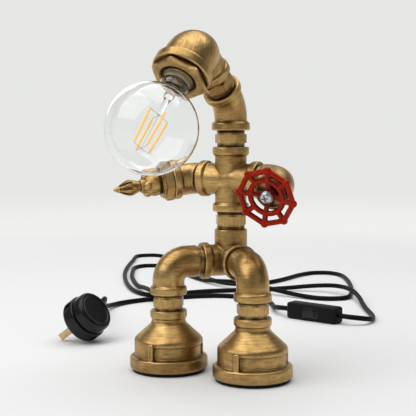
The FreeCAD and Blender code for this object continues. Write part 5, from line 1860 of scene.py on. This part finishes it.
@dataclass
class RockerSwitch(Assembly):
    """Inline rocker switch, standing on its side on the lead."""

    middle: tuple[float, float] = (-12.1, 263.0)
    turn: float = 167.5
    length: float = 74.0
    height: float = 21.0
    depth: float = 20.0
    wall: float = 2.0
    pivot: float = 15.0
    tilt: float = 8.0
    edge: float = 3.6
    seam: float = 0.15
    window: Triple = (24.0, 8.0, 13.5)
    key_half: float = 10.8
    key_width: float = 13.0
    key_ribs: int = 5

    @property
    def frame(self) -> Matrix:
        """Placement with x along the case, y from its back to its rocker face."""
        spot = Matrix.Translation((*self.middle, 0)) @ Matrix.Rotation(math.radians(self.turn), 4, "Z")
        return spot @ Matrix.Translation((0, -self.depth / 2, 0))

    def build(self) -> list[Piece]:
        """Builds and dresses the switch.

        Returns:
            The dressed pieces.
        """
        self.dress_all("body", (
            (self.back, "switch_back", Finish.SWITCH, Slot.SWITCH),
            (self.front, "switch_front", Finish.SWITCH, Slot.SWITCH)))
        self.dress_all("rocker", ((self.rocker, "switch_rocker", Finish.ROCKER, Slot.SWITCH),))
        self.dress_all("body", ((self.screws, "switch_screws", Finish.ZINC, Slot.ZINC),))
        return self.made

    def half(self, low: float, high: float) -> Piece:
        """Slice of the rounded case between two depths.

        Args:
            low: First depth from the back.
            high: Last depth from the back.

        Returns:
            The modelled piece.
        """
        middle = Matrix.Translation((0, self.depth / 2, self.height / 2))
        case = Bench.block((self.length, self.depth, self.height), middle, self.edge, 6)
        size = (self.length + 4, high - low, self.height + 4)
        keep = Bench.block(size, Matrix.Translation((0, (low + high) / 2, self.height / 2)))
        return Bench.boolean(case, [keep], "INTERSECT")

    def screw_places(self) -> list[tuple[float, float]]:
        """Places of the two case screws along and across the case."""
        return [(28.0, 4.0), (-28.0, self.height - 4.0)]

    def back(self) -> Piece:
        """Back half with its screw holes.

        Returns:
            The modelled piece.
        """
        half = self.half(-1, self.depth / 2 - self.seam)
        holes = [Bench.rod(Axis(Vector((x, -1, z)), BACK), 2.6, 1.9, 32) for x, z in self.screw_places()]
        return Bench.place(Bench.boolean(half, holes), self.frame)

    def front(self) -> Piece:
        """Front half with the rocker's framed window.

        Returns:
            The modelled piece.
        """
        half = self.half(self.depth / 2 + self.seam, self.depth + 1)
        middle = Matrix.Translation((0, self.depth - 1.0, self.height / 2))
        window = Bench.block(self.window, middle, 0.6)
        return Bench.place(Bench.boolean(half, [window]), self.frame)

    def rocker(self) -> Piece:
        """Rocker key, hollowed to both sides, tilted to off.

        Returns:
            The modelled piece.
        """
        end, face, low = self.key_half, self.depth, (self.height - self.key_width) / 2
        Bench.clear()
        outline = [(-end, face + 1.6), (-end / 2, face + 0.6), (0, face + 0.2), (end / 2, face + 0.6),
                   (end, face + 1.6), (end, face - 2.6), (4.0, 12.0), (-4.0, 12.0), (-end, face - 2.6)]
        bpy.ops.mesh.primitive_circle_add(vertices=len(outline), radius=1, fill_type="NGON")
        key = bpy.context.object
        for vertex, (x, y) in zip(key.data.vertices, outline):
            vertex.co = (x, y, low)
        bpy.ops.object.mode_set(mode="EDIT")
        bpy.ops.mesh.select_all(action="SELECT")
        bpy.ops.mesh.extrude_region_move(TRANSFORM_OT_translate={"value": (0, 0, self.key_width)})
        Bench.close()
        Bench.modify(key, "BEVEL", width=0.5, segments=3, limit_method="ANGLE",
                     angle_limit=math.radians(30))
        ribs = []
        for number in range(self.key_ribs):
            spot = Matrix.Translation((-8.2 + number * 0.9, face + 1.15 - number * 0.12, self.height / 2))
            ribs.append(Bench.block((0.4, 0.7, 9.0), spot, 0.12, 2))
        key = Bench.join([key, *ribs])
        hinge = Matrix.Translation((0, self.pivot, 0))
        turn = hinge @ Matrix.Rotation(math.radians(self.tilt), 4, "Z") @ hinge.inverted()
        return Bench.place(key, self.frame @ turn)

    def screws(self) -> Piece:
        """Heads of the case screws in the back's holes.

        Returns:
            The modelled piece.
        """
        heads = []
        for x, z in self.screw_places():
            head = Bench.turn(Bench.eased([(0, 0.3), (1.7, 0.5), (1.7, 1.6), (0, 1.6)], 0.3),
                              Axis(Vector((x, 0, z)), BACK), 32)
            cuts = [Bench.block((2.2, 1.2, 0.45), Matrix.Translation((x, 0.5, z))
                                @ Matrix.Rotation(math.radians(turn), 4, "Y")) for turn in (30, 120)]
            heads.append(Bench.boolean(head, cuts))
        return Bench.place(Bench.join(heads), self.frame)


@dataclass
class MainsPlug(Assembly):
    """Three pin plug lying on the table."""

    at: Triple = (-209.2, 27.1, 20.4)
    backwards: Triple = (-0.14, 0.961, 0.239)
    outwards: Triple = (0.815, -0.025, 0.579)
    radius: float = 26.0
    base: float = 17.0
    cover_depth: float = 14.0
    cover_radius: float = 24.4
    nub_height: float = 10.0
    nub_reach: float = 33.0
    spacing: float = 22.2
    line_pins: float = 9.5
    pin_wide: float = 6.35
    pin_thick: float = 4.0
    grip: Triple = (9.0, 6.0, 11.0)
    grip_turn: float = 68

    @property
    def frame(self) -> Matrix:
        """Placement with y towards the lead and z out of the cover.

        Returns:
            Placement from the plug to the world.
        """
        out = Vector(self.outwards).normalized()
        back = Vector(self.backwards)
        back = (back - out * back.dot(out)).normalized()
        columns = Matrix((back.cross(out), back, out)).transposed()
        return Matrix.Translation(self.at) @ columns.to_4x4()

    def build(self) -> list[Piece]:
        """Builds and dresses the plug.

        Returns:
            The dressed pieces.
        """
        half = self.spacing / 2
        parts = [(self.shell(), "plug_base", Finish.PLUG, Slot.PLUG),
                 (self.cover(), "plug_cover", Finish.PLUG, Slot.PLUG),
                 (self.line_pin(half), "live_pin", Finish.PINS, Slot.PINS),
                 (self.line_pin(-half), "neutral_pin", Finish.PINS, Slot.PINS),
                 (self.earth_pin(), "earth_pin", Finish.PINS, Slot.PINS),
                 (self.sleeves(), "pin_sleeves", Finish.PLUG, Slot.PLUG),
                 (self.screw(), "plug_screw", Finish.ZINC, Slot.ZINC)]
        self.dress_all("body", [(partial(Bench.place, piece, self.frame), *rest)
                                for piece, *rest in parts])
        return self.made

    def shell(self) -> Piece:
        """Base with a raised pin face, and the nub for the lead.

        Returns:
            The modelled piece.
        """
        r = self.radius
        body = Bench.turn(Bench.eased([
            (0, 0), (r - 3, 0), (r, 3.2), (r, self.base - 1), (r - 1.2, self.base), (0, self.base)],
            1.6, 5), Axis(Vector(), UP), 128)
        nub_axis = Axis(Vector((0, r - 5, self.nub_height)), BACK)
        long = self.nub_reach - r + 5
        rings = []
        for number in range(7):
            share = number / 6
            rings.append((7.0 - 2.4 * share + (0.35 if number % 2 else 0), long * share))
        nub = Bench.turn(Bench.eased([(0, -2), (7.0, -2), *rings, (0, long)], 0.4), nub_axis, 64)
        cast = Bench.boolean(body, [nub], "UNION")
        hole = Bench.rod(Axis(Vector((0, 0, -1)), UP), 4, 2.6, 48)
        grips = [Bench.block(self.grip, Matrix.Rotation(math.radians(turn), 4, "Z")
                             @ Matrix.Translation((0, -r, 9.5)), 0.8)
                 for turn in (-self.grip_turn, self.grip_turn)]
        return Bench.boolean(cast, [hole, *grips])

    def cover(self) -> Piece:
        """Domed cover, set in from the base's edge.

        Returns:
            The modelled piece.
        """
        r, top = self.cover_radius, self.base + self.cover_depth
        profile = [(0, self.base + 0.6), (r - 1.0, self.base + 0.6), (r, self.base + 1.4),
                   (r - 0.8, top - 2.6), (r - 3.0, top), (r - 6.0, top - 0.2),
                   (r - 7.4, top - 1.0), (0, top - 1.0)]
        return Bench.turn(Bench.eased(profile, 2.2, 6), Axis(Vector((0, 0, 0)), UP), 128)

    @staticmethod
    def bar(x: float, y: float, wide: float, thick: float, low: float, high: float,
            edge: float) -> Piece:
        """Upright bar of a pin between two heights."""
        middle = Matrix.Translation((x, y, (low + high) / 2))
        return Bench.block((wide, thick, high - low), middle, edge)

    def line_pin(self, x: float) -> Piece:
        """Bare end and core of a live or neutral pin."""
        return Bench.join([self.bar(x, self.line_pins, self.pin_wide, self.pin_thick, -17.7, -9.05, 0.5),
                           self.bar(x, self.line_pins, 5.0, 2.6, -9.2, 1.5, 0.0)])

    def earth_pin(self) -> Piece:
        """Longer earth pin."""
        return self.bar(0, self.line_pins - self.spacing, 8.0, 4.0, -22.7, 1.5, 0.55)

    def sleeves(self) -> Piece:
        """Insulating sleeves at the roots of the line pins."""
        return Bench.join([self.bar(side * self.spacing / 2, self.line_pins, self.pin_wide,
                                    self.pin_thick, -9.0, 0.2, 0.3) for side in (-1, 1)])

    def screw(self) -> Piece:
        """Slotted screw in the middle of the pin face.

        Returns:
            The modelled piece.
        """
        head = Bench.turn(Bench.eased([(0, 0.7), (2.5, 0.9), (2.5, 3), (0, 3)], 0.4),
                          Axis(Vector(), UP), 48)
        slot = Bench.block((6, 0.8, 1.6), Matrix.Translation((0, 0, 0.6))
                           @ Matrix.Rotation(math.radians(25), 4, "Z"))
        return Bench.boolean(head, [slot])


@dataclass
class MainsLead(Assembly):
    """The round flexible lead in its two stretches, and the bush that it leaves."""

    bones: Skeleton
    switch: RockerSwitch
    plug: MainsPlug
    radius: float = 3.2
    gland_lean: float = 27.5
    gland_high: float = 11.0
    grooves: int = 5

    TIP = (-0.07667, 0.00911, 0.011)
    TO_SWITCH = (
        (-0.0864, 0.0277, 0.011), (-0.098, 0.0496, 0.0092), (-0.116, 0.087, 0.004),
        (-0.149, 0.143, 0.0032), (-0.1809, 0.1861, 0.0032), (-0.2079, 0.2251, 0.0044),
        (-0.2346, 0.2595, 0.0086), (-0.2612, 0.2905, 0.0116), (-0.2886, 0.3181, 0.0116),
        (-0.3141, 0.3452, 0.0084), (-0.3376, 0.3723, 0.0044), (-0.3596, 0.3994, 0.0032),
        (-0.3801, 0.4268, 0.0032), (-0.399, 0.4535, 0.0032), (-0.4154, 0.4802, 0.0032),
        (-0.4302, 0.5074, 0.0032), (-0.4464, 0.5338, 0.0032), (-0.4516, 0.5665, 0.0032),
        (-0.4241, 0.5849, 0.0032), (-0.392, 0.5657, 0.0032), (-0.3628, 0.5394, 0.0032),
        (-0.3328, 0.5152, 0.0032), (-0.3046, 0.4904, 0.0032), (-0.274, 0.4689, 0.004),
        (-0.2419, 0.4498, 0.008), (-0.2078, 0.434, 0.0116), (-0.1716, 0.4228, 0.0116),
        (-0.1342, 0.4142, 0.008), (-0.096, 0.4071, 0.004), (-0.0578, 0.3989, 0.0032),
        (-0.0248, 0.4184, 0.0032), (-0.0328, 0.4562, 0.0032), (-0.0458, 0.4932, 0.0032),
        (-0.0603, 0.5289, 0.0032), (-0.0764, 0.5635, 0.0032), (-0.0933, 0.5959, 0.0032),
        (-0.1115, 0.6237, 0.0032), (-0.1362, 0.6369, 0.0032), (-0.1611, 0.6241, 0.0032),
        (-0.1706, 0.5913, 0.0032), (-0.1728, 0.5516, 0.0032), (-0.1773, 0.511, 0.0032),
        (-0.1917, 0.4763, 0.0032), (-0.2225, 0.4611, 0.0032), (-0.2548, 0.4712, 0.0032),
        (-0.2839, 0.4923, 0.0032), (-0.3105, 0.5181, 0.0032), (-0.3365, 0.5452, 0.0032),
        (-0.3622, 0.5732, 0.0032), (-0.3868, 0.6022, 0.0032), (-0.4121, 0.6303, 0.0032),
        (-0.4385, 0.6558, 0.0032), (-0.4637, 0.6822, 0.0032), (-0.4973, 0.7006, 0.0032),
        (-0.5249, 0.6751, 0.0032), (-0.5093, 0.641, 0.0032), (-0.4962, 0.6161, 0.0032),
        (-0.4827, 0.5844, 0.0032), (-0.4661, 0.5497, 0.0032), (-0.448, 0.5138, 0.0032),
        (-0.428, 0.4781, 0.0032), (-0.4062, 0.4437, 0.0032), (-0.3838, 0.4106, 0.0032),
        (-0.3608, 0.3796, 0.0032), (-0.3373, 0.3515, 0.0032), (-0.313, 0.3285, 0.0032),
        (-0.2876, 0.3157, 0.0032), (-0.2632, 0.3274, 0.0032), (-0.2504, 0.3542, 0.0032),
        (-0.2311, 0.3825, 0.0032), (-0.2013, 0.4063, 0.0032), (-0.1695, 0.4302, 0.0032),
        (-0.1366, 0.4534, 0.004), (-0.101, 0.4713, 0.008), (-0.0621, 0.4715, 0.0116),
        (-0.0289, 0.4466, 0.0116), (-0.0046, 0.4105, 0.008), (0.014, 0.3729, 0.0044),
        (0.0321, 0.3405, 0.0032), (0.0474, 0.314, 0.0032), (0.0556, 0.2915, 0.004),
        (0.0578, 0.2756, 0.0056), (0.0546, 0.264, 0.0078), (0.0465, 0.2558, 0.0096),
        (0.0353, 0.2525, 0.0105))
    TO_PLUG = (
        (-0.059, 0.2734, 0.0105), (-0.0693, 0.2798, 0.0092), (-0.082, 0.2945, 0.0064),
        (-0.0939, 0.3193, 0.0032), (-0.1119, 0.347, 0.0032), (-0.1424, 0.3619, 0.0032),
        (-0.1775, 0.3647, 0.0032), (-0.2101, 0.3509, 0.0032), (-0.2366, 0.3239, 0.0032),
        (-0.2658, 0.2928, 0.0032), (-0.2873, 0.2525, 0.0032), (-0.286, 0.206, 0.005),
        (-0.264, 0.163, 0.013), (-0.239, 0.127, 0.027), (-0.221, 0.101, 0.0365),
        (-0.209, 0.0816, 0.0398))

    def build(self) -> list[Piece]:
        """Returns:
            The dressed pieces.
        """
        self.dress_all("body", ((self.gland, "cord_gland", Finish.PAD, Slot.RUBBER),))
        switch, plug = self.switch, self.plug
        tip = self.TIP
        ends = [switch.frame @ Vector((side * switch.length / 2, switch.depth / 2, switch.height / 2)) * MM
                for side in (-1, 1)]
        nub = plug.frame @ Vector((0, plug.nub_reach, plug.nub_height)) * MM
        first = self.stretch("lead_to_lamp", (tip, *self.TO_SWITCH, ends[0]))
        second = self.stretch("lead_to_plug", (ends[1], *self.TO_PLUG, nub))
        return self.made

    def gland(self) -> Piece:
        """Tapered and grooved strain relief.

        Returns:
            The modelled piece.
        """
        lean = math.radians(self.gland_lean)
        way = Vector((-math.sin(lean), math.cos(lean), 0))
        axis = Axis(self.bones.foot(-1).start + UP * self.gland_high, way)
        low, out = 39.6, 41.6
        profile = [(3.3, low - 6), (4.7, low - 6), (4.7, low - 0.5), (6.6, low - 0.3),
                   (6.6, out - 0.5), (6.0, out)]
        for number in range(self.grooves):
            z = out + 1.2 + number * 4.0
            r = 5.5 - 1.0 * number / self.grooves
            profile += [(r, z), (r - 0.1, z + 2.6), (r - 0.7, z + 2.9), (r - 0.7, z + 3.7)]
        profile += [(4.35, out + 21.2), (4.3, out + 22), (3.3, out + 22), (3.3, low - 6)]
        return Bench.turn(profile, axis, 48)

    def stretch(self, node: str, points: Sequence[Sequence[float]]) -> Piece:
        """One stretch of the lead as a smooth spline with a round section; points in metres.

        Args:
            node: CAD node that it stands for.
            points: Control points, in metres.

        Returns:
            The modelled piece.
        """
        piece = Bench.spline(node + "_look", points, self.radius * MM, 8, 5)
        piece.data.materials.append(Finish.CORD.material())
        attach(piece, "body")
        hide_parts(node)
        log.info("%s: spline of %d points", piece.name, len(points))
        self.made.append(piece)
        return piece


# ---- studio -------------------------------------------------------------
@dataclass
class Studio:
    """White floor, soft lights and the camera."""

    eye: Triple = (488.7, -988.9, 260.5)
    ahead: Triple = (-0.4603, 0.8835, -0.0873)
    across: Triple = (0.8869, 0.4619, -0.0016)
    lens: float = 93.0
    backdrop: Triple = (0.79, 0.80, 0.78)
    floor_colour: Triple = (0.80, 0.80, 0.795)
    far_floor: Triple = (0.87, 0.87, 0.86)
    sweep: tuple[float, float] = (0.75, 1.3)
    rise: tuple[float, float] = (1.6, 2.5)
    overhead: float = 0.12
    sides: float = 0.25
    ambient: float = 0.38

    def build(self) -> list[Piece]:
        """Builds the studio.

        Returns:
            The floor and the lights.
        """
        self.camera()
        self.world()
        made = [self.floor()]
        made += [self.light(*row) for row in (
            ("key", (-0.9, -1.2, 1.9), (0.0, 0.0, 0.18), 2.4, 38),
            ("fill", (1.7, -0.9, 1.0), (0.0, 0.0, 0.15), 1.5, 2.2),
            ("top", (0.1, 0.5, 2.1), (0.0, 0.1, 0.1), 2.2, 30),
            ("rim", (-1.3, 1.1, 0.9), (0.0, 0.0, 0.2), 0.9, 2))]
        return made

    def camera(self) -> None:
        """Camera at the fitted place and angle."""
        lens = bpy.data.cameras.new("camera")
        lens.lens, lens.sensor_width, lens.sensor_fit = self.lens, 36.0, "HORIZONTAL"
        camera = bpy.data.objects.new("camera", lens)
        bpy.context.scene.collection.objects.link(camera)
        back = -Vector(self.ahead).normalized()
        right = Vector(self.across)
        right = (right - back * right.dot(back)).normalized()
        turn = Matrix((right, back.cross(right), back)).transposed().to_4x4()
        camera.matrix_world = Matrix.Translation(Vector(self.eye) * MM) @ turn
        bpy.context.scene.camera = camera

    @staticmethod
    def seen(tree: bpy.types.NodeTree, *kinds: str) -> Socket:
        """Share that is 1 for rays of any of the given kinds.

        Args:
            tree: Node tree to add to.
            *kinds: Names of the ray kinds.

        Returns:
            The share.
        """
        path = tree.nodes.new("ShaderNodeLightPath")
        total = path.outputs[kinds[0]]
        for name in kinds[1:]:
            add = tree.nodes.new("ShaderNodeMath")
            add.operation, add.use_clamp = "ADD", True
            tree.links.new(total, add.inputs[0])
            tree.links.new(path.outputs[name], add.inputs[1])
            total = add.outputs[0]
        return total

    def world(self) -> None:
        """Pale backdrop for the eye and glass, dim room for metal, plain light for the rest."""
        world = bpy.data.worlds.new("studio")
        bpy.context.scene.world = world
        world.use_nodes = True
        tree = world.node_tree
        tree.nodes.clear()
        new, link = tree.nodes.new, tree.links.new
        way = new("ShaderNodeTexCoord").outputs["Generated"]
        height, facing_wall, product = (new("ShaderNode" + kind)
                                        for kind in ("SeparateXYZ", "VectorMath", "Math"))
        link(way, height.inputs[0])
        facing_wall.operation = "DOT_PRODUCT"
        link(way, facing_wall.inputs[0])
        facing_wall.inputs[1].default_value = self.ahead
        product.operation = "MULTIPLY"
        for number, (source, limits) in enumerate((
                (height.outputs["Z"], (0.14, 0.55, 1.0, self.overhead)),
                (facing_wall.outputs["Value"], (0.1, 0.8, self.sides, 1.0)))):
            level = new("ShaderNodeMapRange")
            link(source, level.inputs[0])
            for index, value in enumerate(limits, start=1):
                level.inputs[index].default_value = value
            link(level.outputs[0], product.inputs[number])
        shades = [new("ShaderNodeBackground") for _ in range(3)]
        for shade, colour, strength in zip(shades, ((0.62, 0.63, 0.65), self.backdrop, self.backdrop),
                                           (self.ambient, 1.0, 1.0)):
            shade.inputs["Color"].default_value = (*colour, 1)
            shade.inputs["Strength"].default_value = strength
        link(product.outputs[0], shades[1].inputs["Strength"])
        found = shades[0].outputs[0]
        for shade, kinds in ((shades[1], ("Is Glossy Ray",)),
                             (shades[2], ("Is Camera Ray", "Is Transmission Ray"))):
            mix = new("ShaderNodeMixShader")
            link(self.seen(tree, *kinds), mix.inputs[0])
            link(found, mix.inputs[1])
            link(shade.outputs[0], mix.inputs[2])
            found = mix.outputs[0]
        link(found, new("ShaderNodeOutputWorld").inputs["Surface"])

    def floor(self) -> Piece:
        """Plain pale floor that runs out into the backdrop.

        Returns:
            The floor.
        """
        Bench.clear()
        bpy.ops.mesh.primitive_plane_add(size=30, location=(0, 0, 0))
        plane = bpy.context.object
        plane.name = "floor"
        s = Sketch("floor")
        s.set(Base_Color=(*self.floor_colour, 1), Roughness=0.9, Specular_IOR_Level=0.1)
        distance = s.node("ShaderNodeVectorMath", operation="LENGTH")
        s.link(s.coords, distance.inputs[0])
        far = s.sums("MULTIPLY", s.grade(distance.outputs["Value"], *self.sweep),
                     self.seen(s.tree, "Is Camera Ray", "Is Glossy Ray", "Is Transmission Ray"))
        wall, mix = s.node("ShaderNodeEmission"), s.node("ShaderNodeMixShader")
        shade = s.blend(s.grade(distance.outputs["Value"], *self.rise), self.far_floor, self.backdrop)
        for source, target in ((shade, wall.inputs["Color"]), (far, mix.inputs[0]),
                               (s.shader.outputs[0], mix.inputs[1]), (wall.outputs[0], mix.inputs[2]),
                               (mix.outputs[0], s.output.inputs["Surface"])):
            s.link(source, target)
        plane.data.materials.append(s.material)
        return plane

    def light(self, name: str, spot: Sequence[float], aim: Sequence[float], size: float,
              power: float) -> Piece:
        """Square soft light that faces a point.

        Args:
            name: Name of the light.
            spot: Its place, in metres.
            aim: Point that it faces.
            size: Side of the square, in metres.
            power: Its power, in watts.

        Returns:
            The light.
        """
        lamp = bpy.data.lights.new(name, "AREA")
        lamp.shape, lamp.size, lamp.energy = "SQUARE", size, power
        holder = bpy.data.objects.new(name, lamp)
        bpy.context.scene.collection.objects.link(holder)
        way = (Vector(aim) - Vector(spot)).normalized()
        holder.matrix_world = Matrix.Translation(spot) @ way.to_track_quat("-Z", "Y").to_matrix().to_4x4()
        return holder


def finish_inner(finishes: dict[str, Finish]) -> None:
    """Gives the CAD nodes that stay in place their finishes.

    Args:
        finishes: Finish of each node that no piece replaces.
    """
    for node, finish in finishes.items():
        piece = frame["nodes"][node]
        piece.data.materials.clear()
        piece.data.materials.append(finish.material())
        log.info("%s: carried", node)


def main() -> None:
    logging.basicConfig(level=logging.INFO, format="%(message)s")
    scene = bpy.context.scene
    scene.view_settings.view_transform = "Standard"
    bones = Skeleton()
    switch, plug = RockerSwitch(), MainsPlug()
    for group in (Legs(bones), Torso(bones), Head(bones), GlobeLamp(bones), PointedArm(bones),
                  WheelArm(bones), switch, plug, MainsLead(bones, switch, plug), Studio()):
        made = group.build()
        log.info("%s: %d pieces", type(group).__name__, len(made))
    finish_inner({"body_flex": Finish.CORD, "head_flex": Finish.CORD, "lampholder_block": Finish.HOLDER,
                  "lampholder_contact": Finish.PINS, "switch_contacts": Finish.PINS,
                  "plug_fuse": Finish.FUSE, "fuse_clips": Finish.PINS, "plug_cord_grip": Finish.PLUG})


if __name__ == "__main__":
    main()
